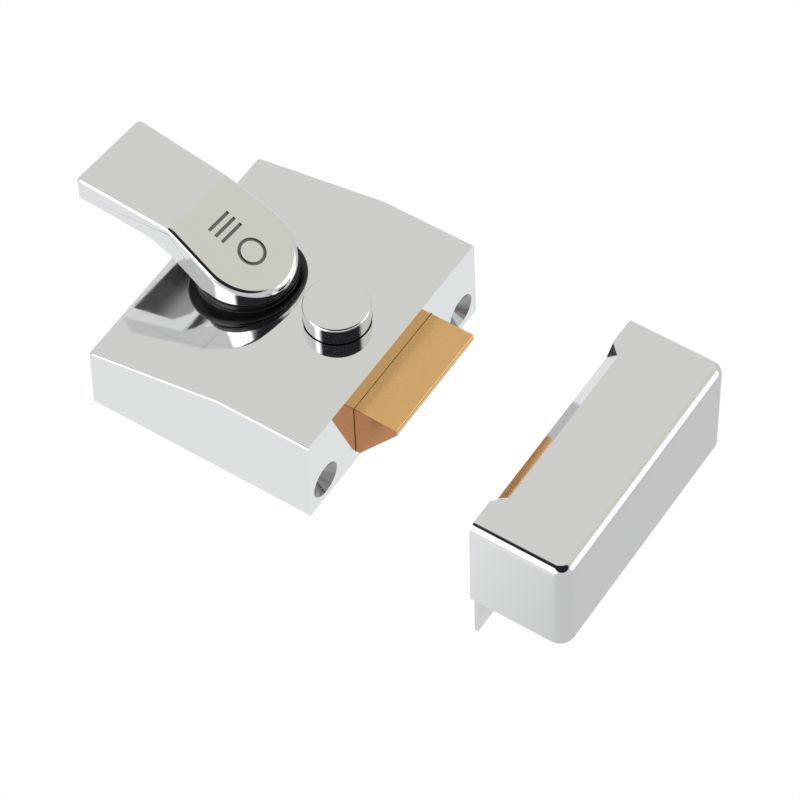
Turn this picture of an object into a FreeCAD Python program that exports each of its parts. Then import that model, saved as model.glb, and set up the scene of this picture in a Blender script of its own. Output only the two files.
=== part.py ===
"""Rim night latch: the surface-mounted lock case with its inside lever, and its keep.

Millimetres. The origin is where the lever's axis, which is also the cylinder's axis,
meets the door face. +X points from the lever to the keep, the way the bolt is thrown.
+Y runs along the length of the case. +Z points out of the door, into the room.
"""
import FreeCAD, Part
import math
import os

V = FreeCAD.Vector
X, Y, Z = V(1, 0, 0), V(0, 1, 0), V(0, 0, 1)

# ---------------------------------------------------------------- driving dimensions
BACKSET = 60.0              # lever axis to the case's edge face
CASE_REAR = -32.5           # rear end of the case at the door face
CASE_HALF = 52.5            # half the case's length at the door face
CASE_TOP = 38.0             # flat front part of the top
CASE_LOW = 27.0             # top of the case at its rear end
CREASE_X = 23.0             # where the flat top turns down
DRAFT_REAR = 1.0            # taper of the rear wall over the full height
DRAFT_SIDE = 0.7            # taper of each side wall over the full height
WALL = 2.8
CORNER_R = 1.5
EDGE_R = 0.9

PLATE_T = 2.0               # mounting plate on the door
BACK_Z = 2.3                # underside of the case's back plate
BACK_T = 1.4

BOLT_HALF = 24.3
BOLT_LOW, BOLT_HIGH = 4.7, 29.1
BOLT_THROW = 17.6           # how far the bolt stands out of the case
BOLT_TRAVEL = 17.5
BOLT_GAP = 0.3
BEVEL_START = 1.8           # bevel's lower edge, from the edge face
BEVEL_LAND = 2.6            # thickness left at the bolt's tip

LEVER_REST = -4.5           # degrees, where the spring holds the lever
NOSE_R = 17.9
NOSE_TOP = 45.2
BEND_X, BEND_HALF = -20.2, 16.0
PADDLE_X, PADDLE_HALF = -61.3, 17.3
PADDLE_TOP = 61.0
PADDLE_T = 9.5
SKIRT_Z = 41.6              # underside of the lever's round end
JOURNAL_R = 9.95
COLLAR_BORE_R = 10.0
SHANK = 9.0                 # square shank, across flats
HUB_R = 8.0

COLLAR_R = 21.3
COLLAR_FLANGE_T = 1.2
COLLAR_TUBE_R = 18.4
COLLAR_HOLE_R = 17.9
COLLAR_NECK_R = 17.7
COLLAR_TOP = 38.9
COLLAR_LOW = 25.6

BUTTON_X = 37.5
BUTTON_R = 11.95
BUTTON_HOLE_R = 12.3
BUTTON_TOP = 45.8
PIN_R = 2.4

EDGE_SCREW_Y, EDGE_SCREW_Z = 42.7, 9.8
EDGE_SCREW_R, EDGE_SINK_R = 3.1, 6.9

ARM_R = 20.7                # follower's peg circle
ARM_DEG = 65.0              # follower's arm at rest, from +X
PEG_R = 3.0
PIN_TOP_R = 1.45            # the peg's reduced top end

KEEP_X = 124.3
KEEP_W = 37.6
KEEP_HALF = 51.8
KEEP_TOP = 41.8
KEEP_WALL = 3.0
KEEP_ROOF = 5.0
KEEP_CORNER_R = 5.6
KEEP_EDGE_R = 3.8
MOUTH_HALF, MOUTH_END = 34.5, 39.2
MOUTH_DEPTH_X, MOUTH_DEPTH_Z = 4.8, 4.3
FLANGE_DROP = 20.0
FLANGE_HALF = 50.5
FLANGE_T = 1.5
STEEL_T = 2.5               # base of the keep's steel angle

WOOD_R, WOOD_HEAD_R = 2.5, 4.4          # holes for the fitter's wood screws
M3_R, M3_HEAD_R = 1.45, 2.8             # the lock's own small countersunk screws
M3_TAP_R = 1.5                          # their tapped holes
M3_CLEAR_R, M3_SINK_R = 1.7, 3.0        # their clearance holes and countersinks

SLOPE = math.atan2(CASE_TOP - CASE_LOW, CREASE_X - CASE_REAR - DRAFT_REAR)
HEAD_REAR = BUTTON_X + PIN_R + 0.4
HOLD_X = BUTTON_X + BOLT_TRAVEL
KEEP_END = KEEP_X + KEEP_W
nodes = {}


# ---------------------------------------------------------------- plain shapes
def box(x0, x1, y0, y1, z0, z1):
    return Part.makeBox(x1 - x0, y1 - y0, z1 - z0, V(x0, y0, z0))


def rod(r, length, base, axis=Z):
    return Part.makeCylinder(r, length, V(*base), axis)


def cone(r0, r1, length, base, axis=Z):
    return Part.makeCone(r0, r1, length, V(*base), axis)


def ring(r_out, r_in, z0, z1, x=0.0, y=0.0):
    return rod(r_out, z1 - z0, (x, y, z0)).cut(rod(r_in, z1 - z0 + 2, (x, y, z0 - 1)))


def side_prism(points, half):
    """A closed x-z outline, carried from -half to +half along y."""
    wire = Part.makePolygon([V(x, -half, z) for x, z in points + points[:1]])
    return Part.Face(wire).extrude(V(0, 2 * half, 0))


def slab(points, z0, z1):
    """A closed x-y outline, carried from z0 to z1."""
    wire = Part.makePolygon([V(x, y, z0) for x, y in points + points[:1]])
    return Part.Face(wire).extrude(V(0, 0, z1 - z0))


def tapered(first, last):
    """A solid with flat faces between two outlines that have the same number of points."""
    count = len(first)
    loops = [first, last]
    loops += [[first[i], first[(i + 1) % count], last[(i + 1) % count], last[i]] for i in range(count)]
    faces = [Part.Face(Part.makePolygon(loop + loop[:1])) for loop in loops]
    solid = Part.Solid(Part.Shell(faces))
    if solid.Volume < 0:
        solid.reverse()
    return solid


def joined(*shapes):
    first, *rest = shapes
    return first.multiFuse(rest).removeSplitter()


def group(shapes):
    return Part.makeCompound(shapes)


def sunk_screw(r, head_r, length, top, axis):
    """A countersunk screw: head flush at top, shank going the way of axis."""
    head_h = head_r - r
    shank = rod(r, length, top, axis)
    shank = shank.makeChamfer(0.4 * r, edges_at(shank, V(*top) + axis * length))
    drive = rod(0.45 * head_r, 0.5 * head_h, V(*top) - axis * 0.01, axis)
    return cone(head_r, r, head_h, top, axis).fuse(shank).cut(drive).removeSplitter()


def sunk_hole(r, head_r, length, top, axis):
    """The hole for such a screw, with its countersink opening at top."""
    lead = 0.2
    bore = rod(r, length + 1, V(*top) - axis, axis)
    sink = cone(head_r + lead, r, head_r + lead - r, V(*top) - axis * lead, axis)
    return bore.fuse(sink)


def edges_at(shape, point, reach=1e-3):
    return [e for e in shape.Edges if e.CenterOfMass.distanceToPoint(point) < reach]


def upright_edges(shape, z_low=5.0):
    """Edges that climb from the foot of a block to its top."""
    return [e for e in shape.Edges if e.BoundBox.ZLength > z_low]


def helix_spring(coil_r, wire_r, length, turns, base, axis):
    """An open coil from base along axis."""
    path = Part.makeHelix(length / turns, length, coil_r)
    circle = Part.makeCircle(wire_r, V(coil_r, 0, 0), Y)
    coil = Part.Wire(path).makePipeShell([Part.Wire(circle)], True, True)
    coil.rotate(V(0, 0, 0), Z.cross(axis) if Z.cross(axis).Length else X, math.degrees(Z.getAngle(axis)))
    coil.translate(V(*base))
    return coil


# ---------------------------------------------------------------- lock case
def case_block(inset, foot):
    """The case's outline drawn in by inset, with its sloped rear top, from foot up."""
    high = CASE_TOP - inset
    rear = CASE_REAR + inset
    front = BACKSET - inset
    half = CASE_HALF - inset

    def rectangle(z):
        x0 = rear + DRAFT_REAR * z / CASE_TOP
        w = half - DRAFT_SIDE * z / CASE_TOP
        return [V(x0, -w, z), V(front, -w, z), V(front, w, z), V(x0, w, z)]

    block = tapered(rectangle(foot), rectangle(high))
    drop = math.tan(SLOPE)
    crease_z = CASE_TOP - inset / math.cos(SLOPE)
    reach = 80.0
    wedge = [(CREASE_X, crease_z), (CREASE_X - reach, crease_z - drop * reach),
             (CREASE_X - reach, crease_z + reach), (CREASE_X + reach, crease_z + reach),
             (CREASE_X + reach, crease_z + drop * reach)]
    return block.cut(side_prism(wedge, CASE_HALF + 10))


def slope_z(x):
    """Height of the case's outer top surface at x."""
    return CASE_TOP - max(0.0, CREASE_X - x) * math.tan(SLOPE)


BACK_SCREWS = [(x, y) for x in (-23.0, 35.0) for y in (-43.0, 43.0)]
BUTTON_SCREWS = [(BUTTON_X, -28.2), (BUTTON_X, 28.2)]
SPRING_Y, SPRING_Z = 15.0, 20.0
SPRING_WALL_X = (16.2, 19.6)
SPRING_COIL_R, SPRING_WIRE_R = 9.2, 0.55    # lever spring
SPRING_RISE = 3.9
LEG_POST_R, LEG_REACH = 1.8, 23.0
LEG_POST_LOW = 15.5
RUNNING_GAP = 0.05
GUIDE_Z = (BOLT_HIGH + 0.5, BOLT_HIGH + 1.4)
GUIDE_PIN_R = 1.45
PAN_R, PAN_HEAD_R, PAN_TAP_R = 1.15, 2.6, 1.2
BOSS_FOOT = BACK_Z + BACK_T
BOSS_R, GUIDE_BOSS_R = 4.0, 3.6
BOSS_ROOT = 40.0                            # bosses grow up into the top wall
SPRING_WALL_HALF = 4.2
LUG_BLOCK_X = 45.4                          # rear face of the blocks behind the edge screws
LUG_BLOCK_HALF = 9.0


def case_bosses():
    bosses = [rod(BOSS_R, BOSS_ROOT, (x, y, BOSS_FOOT)) for x, y in BACK_SCREWS]
    bosses += [rod(GUIDE_BOSS_R, BOSS_ROOT, (x, y, GUIDE_Z[1])) for x, y in BUTTON_SCREWS]
    post_out = SPRING_COIL_R + SPRING_WIRE_R + LEG_POST_R + RUNNING_GAP
    post_x, post_y = beside_coil(post_out, -LEG_REACH)
    bosses.append(rod(LEG_POST_R, BOSS_ROOT, (post_x, post_y, LEG_POST_LOW)))
    for s in (-1, 1):
        y = s * SPRING_Y
        bosses.append(box(*SPRING_WALL_X, y - SPRING_WALL_HALF, y + SPRING_WALL_HALF,
                          SPRING_Z - 5, BOSS_ROOT))
        inner, outer = sorted((s * (EDGE_SCREW_Y - LUG_BLOCK_HALF), s * CASE_HALF))
        bosses.append(box(LUG_BLOCK_X, BACKSET, inner, outer, BACK_Z + 0.1, EDGE_SCREW_Z + LUG_BLOCK_HALF))
    return bosses


def make_case_shell():
    outer = case_block(0.0, 0.0)
    rear = [e for e in upright_edges(outer, 20) if e.BoundBox.XMax < 0]
    outer = outer.makeFillet(CORNER_R, rear)
    top = [e for e in outer.Edges if e.BoundBox.ZMin > 20 and e.BoundBox.XMin < BACKSET - 1
           and not is_crease(e)]
    outer = outer.makeFillet(EDGE_R, top)
    shell = outer.cut(case_block(WALL, -1.0))
    core = case_block(1.2, 0.5)
    shell = joined(shell, *[b.common(core) for b in case_bosses()])
    cuts = [rod(COLLAR_HOLE_R, 60, (0, 0, 20)), rod(BUTTON_HOLE_R, 20, (BUTTON_X, 0, 30)),
            box(BACKSET - 10, BACKSET + 1, -BOLT_HALF - BOLT_GAP, BOLT_HALF + BOLT_GAP,
                BOLT_LOW - BOLT_GAP, BOLT_HIGH + BOLT_GAP)]
    cuts += [rod(M3_TAP_R, 9, (x, y, BOSS_FOOT - 0.5)) for x, y in BACK_SCREWS]
    cuts += [rod(PAN_TAP_R, 4.5, (x, y, GUIDE_Z[1] - 0.5)) for x, y in BUTTON_SCREWS]
    cuts += [sunk_hole(EDGE_SCREW_R, EDGE_SINK_R, 20, (BACKSET, s * EDGE_SCREW_Y, EDGE_SCREW_Z), -X)
             for s in (-1, 1)]
    cuts += [rod(GUIDE_PIN_R + 0.05, 10, (SPRING_WALL_X[0] - 1, s * SPRING_Y, SPRING_Z), X)
             for s in (-1, 1)]
    for cut in cuts:
        shell = shell.cut(cut)
    return shell


def is_crease(edge):
    bounds = edge.BoundBox
    return bounds.YLength > CASE_HALF and bounds.XLength < 1 and abs(bounds.XMin - CREASE_X) < 1


PLATE_GAP = 0.5             # between the back plate's rim and the case's walls
NOTCH_X = 40.0              # corners of the back plate clear the plate's lugs
HUB_GAP = 0.06


def make_back_plate():
    rear = CASE_REAR + WALL + PLATE_GAP
    front = BACKSET - WALL - PLATE_GAP
    half = CASE_HALF - WALL - PLATE_GAP
    notch_y = EDGE_SCREW_Y - LUG_BLOCK_HALF - 1.5
    outline = [(rear, -half), (NOTCH_X, -half), (NOTCH_X, -notch_y), (front, -notch_y),
               (front, notch_y), (NOTCH_X, notch_y), (NOTCH_X, half), (rear, half)]
    plate = slab(outline, BACK_Z, BACK_Z + BACK_T)
    plate = plate.cut(rod(HUB_R + HUB_GAP, 4, (0, 0, BACK_Z - 1)))
    for x, y in BACK_SCREWS:
        plate = plate.cut(sunk_hole(M3_CLEAR_R, M3_SINK_R, 4, (x, y, BACK_Z), Z))
    return plate


def make_back_plate_screws():
    return group([sunk_screw(M3_R, M3_HEAD_R, 7.5, (x, y, BACK_Z + 0.1), Z) for x, y in BACK_SCREWS])


WOOD_X, WOOD_Y = (-19.0, 37.0), 30.0
SLOT_Y, SLOT_LEN, SLOT_W = 15.5, 8.0, 5.4
CYLINDER_R = 8.6
LUG_X = (40.8, 44.6)
LUG_HALF, LUG_CROWN_R = 5.5, 5.0
LUG_TAP_R = 2.1
DOOR_PLATE_GAP = 0.8        # between the mounting plate's rim and the case's walls
PLATE_CORNER_R = 3.0


def make_mounting_plate():
    inset = WALL + DOOR_PLATE_GAP
    half = CASE_HALF - inset
    plate = box(CASE_REAR + inset, BACKSET - inset, -half, half, 0, PLATE_T)
    corners = [e for e in plate.Edges if abs(e.BoundBox.ZLength - PLATE_T) < 0.1]
    plate = plate.makeFillet(PLATE_CORNER_R, corners)
    lugs = []
    for s in (-1, 1):
        y = s * EDGE_SCREW_Y
        lug = box(*LUG_X, y - LUG_HALF, y + LUG_HALF, 0, EDGE_SCREW_Z + LUG_HALF)
        crown = [e for e in lug.Edges if e.BoundBox.XLength > 3 and e.BoundBox.ZMin > EDGE_SCREW_Z]
        lugs.append(lug.makeFillet(LUG_CROWN_R, crown))
    plate = joined(plate, *lugs)
    for s in (-1, 1):
        plate = plate.cut(rod(LUG_TAP_R, 20, (LUG_X[0] - 5, s * EDGE_SCREW_Y, EDGE_SCREW_Z), X))
        plate = plate.cut(slot_along_y(s * SLOT_Y))
        for x in WOOD_X:
            plate = plate.cut(sunk_hole(WOOD_R, WOOD_HEAD_R, 4, (x, s * WOOD_Y, PLATE_T), -Z))
    return plate.cut(rod(CYLINDER_R, 4, (0, 0, -1)))


def slot_along_y(y):
    straight = SLOT_LEN - SLOT_W
    r = SLOT_W / 2
    middle = box(-r, r, y - straight / 2, y + straight / 2, -1, PLATE_T + 1)
    ends = [rod(r, PLATE_T + 2, (0, y + s * straight / 2, -1)) for s in (-1, 1)]
    return joined(middle, *ends)


# ---------------------------------------------------------------- collar round the lever
SEAT_GAP = 0.02             # between the collar's flange and the case
FLANGE_EDGE_R, TUBE_EDGE_R = 0.9, 0.6


def make_lever_collar():
    normal = V(-math.sin(SLOPE), 0, math.cos(SLOPE))
    on_slope = V(0, 0, slope_z(0))
    flange = rod(COLLAR_R, COLLAR_FLANGE_T, on_slope + normal * SEAT_GAP, normal)
    rim = [e for e in flange.Edges if e.BoundBox.ZMax > on_slope.z + COLLAR_FLANGE_T and e.Length > 50]
    flange = flange.makeFillet(FLANGE_EDGE_R, rim[-1:])
    tube = rod(COLLAR_TUBE_R, COLLAR_TOP - slope_z(0), on_slope)
    tube = tube.makeFillet(TUBE_EDGE_R, [e for e in tube.Edges if e.BoundBox.ZMin > COLLAR_TOP - 0.1])
    below = Part.makeBox(90, 90, 30, V(-45, -45, -30))
    below.rotate(V(0, 0, 0), Y, -math.degrees(SLOPE))
    below.translate(on_slope + normal * SEAT_GAP)
    neck = rod(COLLAR_NECK_R, COLLAR_TOP - COLLAR_LOW - 1, (0, 0, COLLAR_LOW))
    collar = joined(tube.cut(below), flange, neck)
    return collar.cut(rod(COLLAR_BORE_R, 60, (0, 0, 0)))


CLIP_Z = (COLLAR_LOW - 2.3, COLLAR_LOW - 1.3)
WASHER_Z = (COLLAR_LOW - 1.2, COLLAR_LOW - 0.1)
RETAINER_R = 19.0


def make_collar_retainer():
    """Steel washer under the case top that the collar is drawn up against."""
    return ring(RETAINER_R, COLLAR_BORE_R + 0.4, *WASHER_Z)


# ---------------------------------------------------------------- lever and follower
def turned(shape):
    shape.rotate(V(0, 0, 0), Z, LEVER_REST)
    return shape


def lever_outline(inset=0.0):
    """Plan of the lever: a round nose, two flanks and the paddle's square end."""
    nose, bend, end = NOSE_R - inset, BEND_HALF - inset, PADDLE_HALF - inset
    lean = math.asin(nose / math.hypot(BEND_X, bend)) - math.atan2(bend, -BEND_X)
    tx, ty = nose * math.sin(-lean), nose * math.cos(lean)
    end_x = PADDLE_X + inset
    arc = Part.Arc(V(tx, -ty, 0), V(nose, 0, 0), V(tx, ty, 0)).toShape()
    points = [V(tx, ty, 0), V(BEND_X, bend, 0), V(end_x, end, 0), V(end_x, -end, 0),
              V(BEND_X, -bend, 0), V(tx, -ty, 0)]
    lines = [Part.makeLine(a, b) for a, b in zip(points, points[1:])]
    return Part.Face(Part.Wire([arc] + lines))


UNDER = [(-27.5, 50.9), (-22.5, 49.2), (-6.0, SKIRT_Z)]     # outline under the neck
PADDLE_CORNER_R = 1.6
CORE_WALL, CORE_ROOF = 3.4, 3.0                             # metal left round the cored hollow
CORE_END_X, CORE_CHAMFER = -32.0, 5.0
GROOVE_DEPTH = 1.2
SHANK_LOW = 12.0


def lever_profile():
    tip = (NOSE_R + 3, NOSE_TOP - 3 * (PADDLE_TOP - NOSE_TOP) / (NOSE_R - BEND_X))
    return [(PADDLE_X - 1, PADDLE_TOP), (BEND_X, PADDLE_TOP), tip, (NOSE_R + 3, SKIRT_Z)] + \
        UNDER[::-1] + [(PADDLE_X - 1, PADDLE_TOP - PADDLE_T)]


def make_lever_handle():
    body = lever_outline().extrude(V(0, 0, 80)).common(side_prism(lever_profile(), 30))
    tall = [e for e in body.Edges if e.BoundBox.ZLength > 5 and e.BoundBox.XMax < PADDLE_X + 1]
    body = body.makeFillet(PADDLE_CORNER_R, tall)
    core_half = BEND_HALF - CORE_WALL
    hollow = box(PADDLE_X + CORE_WALL, CORE_END_X, -core_half, core_half, 40, PADDLE_TOP - CORE_ROOF)
    chamfered = [e for e in hollow.Edges if e.BoundBox.ZLength > 5 and e.BoundBox.XMin > CORE_END_X - 1]
    body = body.cut(hollow.makeChamfer(CORE_CHAMFER, chamfered))
    journal = rod(JOURNAL_R, SKIRT_Z - CLIP_Z[0] + 2.6, (0, 0, CLIP_Z[0] - 1.6))
    groove = ring(JOURNAL_R + 1, JOURNAL_R - GROOVE_DEPTH, CLIP_Z[0] - RUNNING_GAP, CLIP_Z[1] + RUNNING_GAP)
    shank = box(-SHANK / 2, SHANK / 2, -SHANK / 2, SHANK / 2, SHANK_LOW, CLIP_Z[0])
    lever = joined(body, journal.cut(groove), shank)
    return turned(lever.cut(turn_mark()))


MARK_X, MARK_R, MARK_DEPTH = 3.0, 5.2, 0.5
MARK_LINE = 1.2                             # width of each bar
BAR_X = (-9.5, -12.5, -15.5)                # bars, from the ring's centre


def turn_mark():
    """A plain turning mark sunk in the lever's sloped top: a ring with three bars."""
    fall = math.atan2(PADDLE_TOP - NOSE_TOP, NOSE_R - BEND_X)
    half = MARK_LINE / 2
    mark = ring(MARK_R, MARK_R - MARK_LINE, -MARK_DEPTH, 1.0)
    bars = [box(x - half, x + half, -MARK_R, MARK_R, -MARK_DEPTH, 1.0) for x in BAR_X]
    mark = group([mark] + bars)
    mark.rotate(V(0, 0, 0), Y, math.degrees(fall))
    mark.translate(V(MARK_X, 0, NOSE_TOP + (NOSE_R - MARK_X) * math.tan(fall)))
    return mark


def make_lever_washer():
    return turned(ring(COLLAR_TUBE_R, JOURNAL_R + RUNNING_GAP, COLLAR_TOP + 0.3, SKIRT_Z))


CLIP_R, CLIP_GAP_HALF = 13.0, 3.5


def make_lever_clip():
    """Snap ring in the journal's groove; its gap faces the rear."""
    clip = ring(CLIP_R, JOURNAL_R - GROOVE_DEPTH + RUNNING_GAP, *CLIP_Z)
    return turned(clip.cut(box(-20, 0, -CLIP_GAP_HALF, CLIP_GAP_HALF, 0, 40)))


FOLLOWER_Z = (BACK_Z + 0.2, CLIP_Z[0] - 2.0)
ARM_Z = (13.2, 16.2)
ARM_HALF = 3.6
SOCKET_LOW = 11.0
TAIL_SLOT_HALF, TAIL_SLOT_W, TAIL_SLOT_TOP = 6.0, 2.8, 9.5      # cross for the cylinder's flat bar
PEG_LOW, PEG_TOP = 8.2, 22.3


def make_follower():
    hub = rod(HUB_R, FOLLOWER_Z[1] - FOLLOWER_Z[0], (0, 0, FOLLOWER_Z[0]))
    arm = box(0, ARM_R, -ARM_HALF, ARM_HALF, *ARM_Z)
    arm = arm.fuse(rod(ARM_HALF, ARM_Z[1] - ARM_Z[0], (ARM_R, 0, ARM_Z[0])))
    arm.rotate(V(0, 0, 0), Z, ARM_DEG)
    socket = SHANK / 2 + RUNNING_GAP
    recess = box(-socket, socket, -socket, socket, SOCKET_LOW, 40)
    recess.rotate(V(0, 0, 0), Z, LEVER_REST)
    hub = joined(hub, arm).cut(recess)
    long, wide = TAIL_SLOT_HALF, TAIL_SLOT_W / 2
    tail_slot = joined(box(-long, long, -wide, wide, 0, TAIL_SLOT_TOP),
                       box(-wide, wide, -long, long, 0, TAIL_SLOT_TOP))
    hub = hub.cut(tail_slot)
    return hub.cut(rod(PIN_TOP_R + 0.03, 10, (*peg_centre(), ARM_Z[0] - 1)))


def peg_centre():
    turn = math.radians(ARM_DEG)
    return ARM_R * math.cos(turn), ARM_R * math.sin(turn)


LUG_TOP = 12.6


def make_follower_peg():
    """The peg that drives the bolt, riveted through the arm; its top end loads the spring."""
    x, y = peg_centre()
    foot = rod(PEG_R, ARM_Z[0] - PEG_LOW, (x, y, PEG_LOW))
    return joined(foot, rod(PIN_TOP_R, PEG_TOP - 10, (x, y, 10.0)))


def leg_angle():
    """Where round the hub the spring's legs leave it, so that one lies behind the peg's top."""
    reach = SPRING_COIL_R + SPRING_WIRE_R + PIN_TOP_R + RUNNING_GAP
    return math.radians(ARM_DEG) - math.acos(reach / ARM_R)


def beside_coil(out, along):
    """A point at a distance out from the axis and along the line of the spring's legs."""
    a = leg_angle()
    return out * math.cos(a) - along * math.sin(a), out * math.sin(a) + along * math.cos(a)


def make_lever_spring():
    """Torsion coil round the hub, from the case's post to the peg's top."""
    low = ARM_Z[1] + 0.8
    coil = helix_spring(SPRING_COIL_R, SPRING_WIRE_R, SPRING_RISE, 3, (0, 0, low), Z)
    coil.rotate(V(0, 0, 0), Z, math.degrees(leg_angle()))
    x, y = beside_coil(SPRING_COIL_R, 0)
    away = V(-math.sin(leg_angle()), math.cos(leg_angle()), 0)
    to_peg = rod(SPRING_WIRE_R, 20.0, (x, y, low + SPRING_RISE), away)
    to_post = rod(SPRING_WIRE_R, 25.0, (x, y, low), -away)
    return group([joined(coil, to_peg, to_post)])


# ---------------------------------------------------------------- bolt
BEVEL_X = BACKSET + BEVEL_START
BOLT_TIP = BACKSET + BOLT_THROW
TAIL_Z = (5.0, 7.6)
TAIL_FRONT = HEAD_REAR + 14.0
POCKET_R, POCKET_END = 4.3, 65.0
RIVETS = [(HEAD_REAR + 7.0, y) for y in (-14.0, 14.0)]
RIVET_R, RIVET_HEAD_R = 1.9, 3.3
BOLT_EDGE_R = 0.7


def make_latch_bolt():
    side = [(HEAD_REAR, BOLT_LOW), (BEVEL_X, BOLT_LOW), (BOLT_TIP, BOLT_HIGH - BEVEL_LAND),
            (BOLT_TIP, BOLT_HIGH), (HEAD_REAR, BOLT_HIGH)]
    bolt = side_prism(side, BOLT_HALF)
    tip = [e for e in bolt.Edges if e.BoundBox.XMin > BOLT_TIP - 0.1 and e.Length > 20]
    bolt = bolt.makeFillet(BOLT_EDGE_R, tip)
    bolt = bolt.cut(box(HEAD_REAR - 1, TAIL_FRONT + 0.1, -30, 30, 0, TAIL_Z[1]))
    bolt = bolt.cut(rod(PIN_R + 0.5, 8, (HOLD_X, 0, BOLT_HIGH - 6)))
    for s in (-1, 1):
        pocket = rod(POCKET_R, POCKET_END - HEAD_REAR + 1, (HEAD_REAR - 1, s * SPRING_Y, SPRING_Z), X)
        bolt = bolt.cut(pocket)
    for x, y in RIVETS:
        bolt = bolt.cut(rod(RIVET_R + RUNNING_GAP, 9, (x, y, TAIL_Z[0])))
    return bolt


FORK_REAR, FORK_GAP = -1.5, 9.6
TAIL_HALF = BOLT_HALF - 0.4
LUG_INNER = 14.0
PEG_PLAY = 0.2


def make_bolt_tail():
    """Forked plate behind the bolt's head; the lug on one tine is what the peg pulls."""
    plate = box(FORK_REAR, TAIL_FRONT, -TAIL_HALF, TAIL_HALF, *TAIL_Z)
    plate = plate.cut(box(FORK_REAR - 1, HUB_R + BOLT_TRAVEL + 1.5, -FORK_GAP, FORK_GAP, 0, 20))
    lug_front = peg_centre()[0] - PEG_R - PEG_PLAY
    lug = box(FORK_REAR, lug_front, LUG_INNER, TAIL_HALF, TAIL_Z[0], LUG_TOP)
    plate = joined(plate, lug)
    for x, y in RIVETS:
        plate = plate.cut(sunk_hole(RIVET_R + RUNNING_GAP, RIVET_HEAD_R + 0.1, 5, (x, y, TAIL_Z[0]), Z))
    return plate


def make_bolt_rivets():
    low = TAIL_Z[0] + RUNNING_GAP
    head_h = RIVET_HEAD_R - RIVET_R
    return group([joined(rod(RIVET_R, 8, (x, y, low)), cone(RIVET_HEAD_R, RIVET_R, head_h, (x, y, low)))
                  for x, y in RIVETS])


THROW_COIL_R, THROW_WIRE_R, THROW_TURNS = 3.2, 0.45, 15
THROW_END_GAP = 0.6
GUIDE_PIN_LENGTH, GUIDE_HEAD_R, GUIDE_HEAD_T = 24.0, 3.0, 1.2


def make_bolt_springs():
    start = SPRING_WALL_X[1] + THROW_END_GAP
    length = POCKET_END - start - THROW_END_GAP
    return group([helix_spring(THROW_COIL_R, THROW_WIRE_R, length, THROW_TURNS,
                               (start, s * SPRING_Y, SPRING_Z), X) for s in (-1, 1)])


def make_spring_guides():
    """Headed pins from the case's spring walls into the coils."""
    start = SPRING_WALL_X[0] - GUIDE_HEAD_T
    return group([joined(rod(GUIDE_PIN_R, GUIDE_PIN_LENGTH, (start, s * SPRING_Y, SPRING_Z), X),
                         rod(GUIDE_HEAD_R, GUIDE_HEAD_T, (start, s * SPRING_Y, SPRING_Z), X))
                  for s in (-1, 1)])


# ---------------------------------------------------------------- snib button
CAP_LOW = CASE_TOP - WALL - 1.1
CAP_WALL = 1.6
CAP_CHAMFER = 0.7
CAP_FLANGE, CAP_FLANGE_T = 1.8, 0.8         # stop flange under the case top
GUIDE_HALF_X, GUIDE_HALF_Y, GUIDE_CORNER_R = 6.5, 32.5, 4.0
PIN_GAP = 0.4
BUTTON_COIL_R, BUTTON_WIRE_R, BUTTON_TURNS = 5.2, 0.5, 4


def make_button_cap():
    cap = rod(BUTTON_R, BUTTON_TOP - CAP_LOW, (BUTTON_X, 0, CAP_LOW))
    cap = cap.makeChamfer(CAP_CHAMFER, [e for e in cap.Edges if e.BoundBox.ZMin > BUTTON_TOP - 0.1])
    cap = cap.fuse(rod(BUTTON_R + CAP_FLANGE, CAP_FLANGE_T, (BUTTON_X, 0, CAP_LOW)))
    cap = cap.cut(rod(BUTTON_R - CAP_WALL, BUTTON_TOP - CAP_WALL - CAP_LOW + 1, (BUTTON_X, 0, CAP_LOW - 1)))
    return cap.removeSplitter()


def make_button_pin():
    low, high = GUIDE_Z[0] + PIN_GAP, BUTTON_TOP - CAP_WALL
    pin = rod(PIN_R, high - low, (BUTTON_X, 0, low))
    foot = [e for e in pin.Edges if e.BoundBox.ZMax < low + 0.1]
    return pin.makeChamfer(0.3, foot)


def make_button_guide():
    guide = box(BUTTON_X - GUIDE_HALF_X, BUTTON_X + GUIDE_HALF_X, -GUIDE_HALF_Y, GUIDE_HALF_Y, *GUIDE_Z)
    guide = guide.makeFillet(GUIDE_CORNER_R, [e for e in guide.Edges if e.BoundBox.ZLength > 0.5])
    guide = guide.cut(rod(PIN_R + PIN_GAP, 4, (BUTTON_X, 0, GUIDE_Z[0] - 1)))
    for x, y in BUTTON_SCREWS:
        guide = guide.cut(rod(PAN_R + 0.25, 4, (x, y, GUIDE_Z[0] - 1)))
    return guide


def make_button_guide_screws():
    """Pan-head screws, heads below the guide, beside the bolt."""
    head_t = 1.3
    return group([joined(rod(PAN_R, 4.4, (x, y, GUIDE_Z[0] - 0.5)),
                         rod(PAN_HEAD_R, head_t, (x, y, GUIDE_Z[0] - head_t)))
                  for x, y in BUTTON_SCREWS])


def make_button_spring():
    low = GUIDE_Z[1] + 0.5
    high = BUTTON_TOP - CAP_WALL - 0.5
    return helix_spring(BUTTON_COIL_R, BUTTON_WIRE_R, high - low, BUTTON_TURNS, (BUTTON_X, 0, low), Z)


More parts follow.
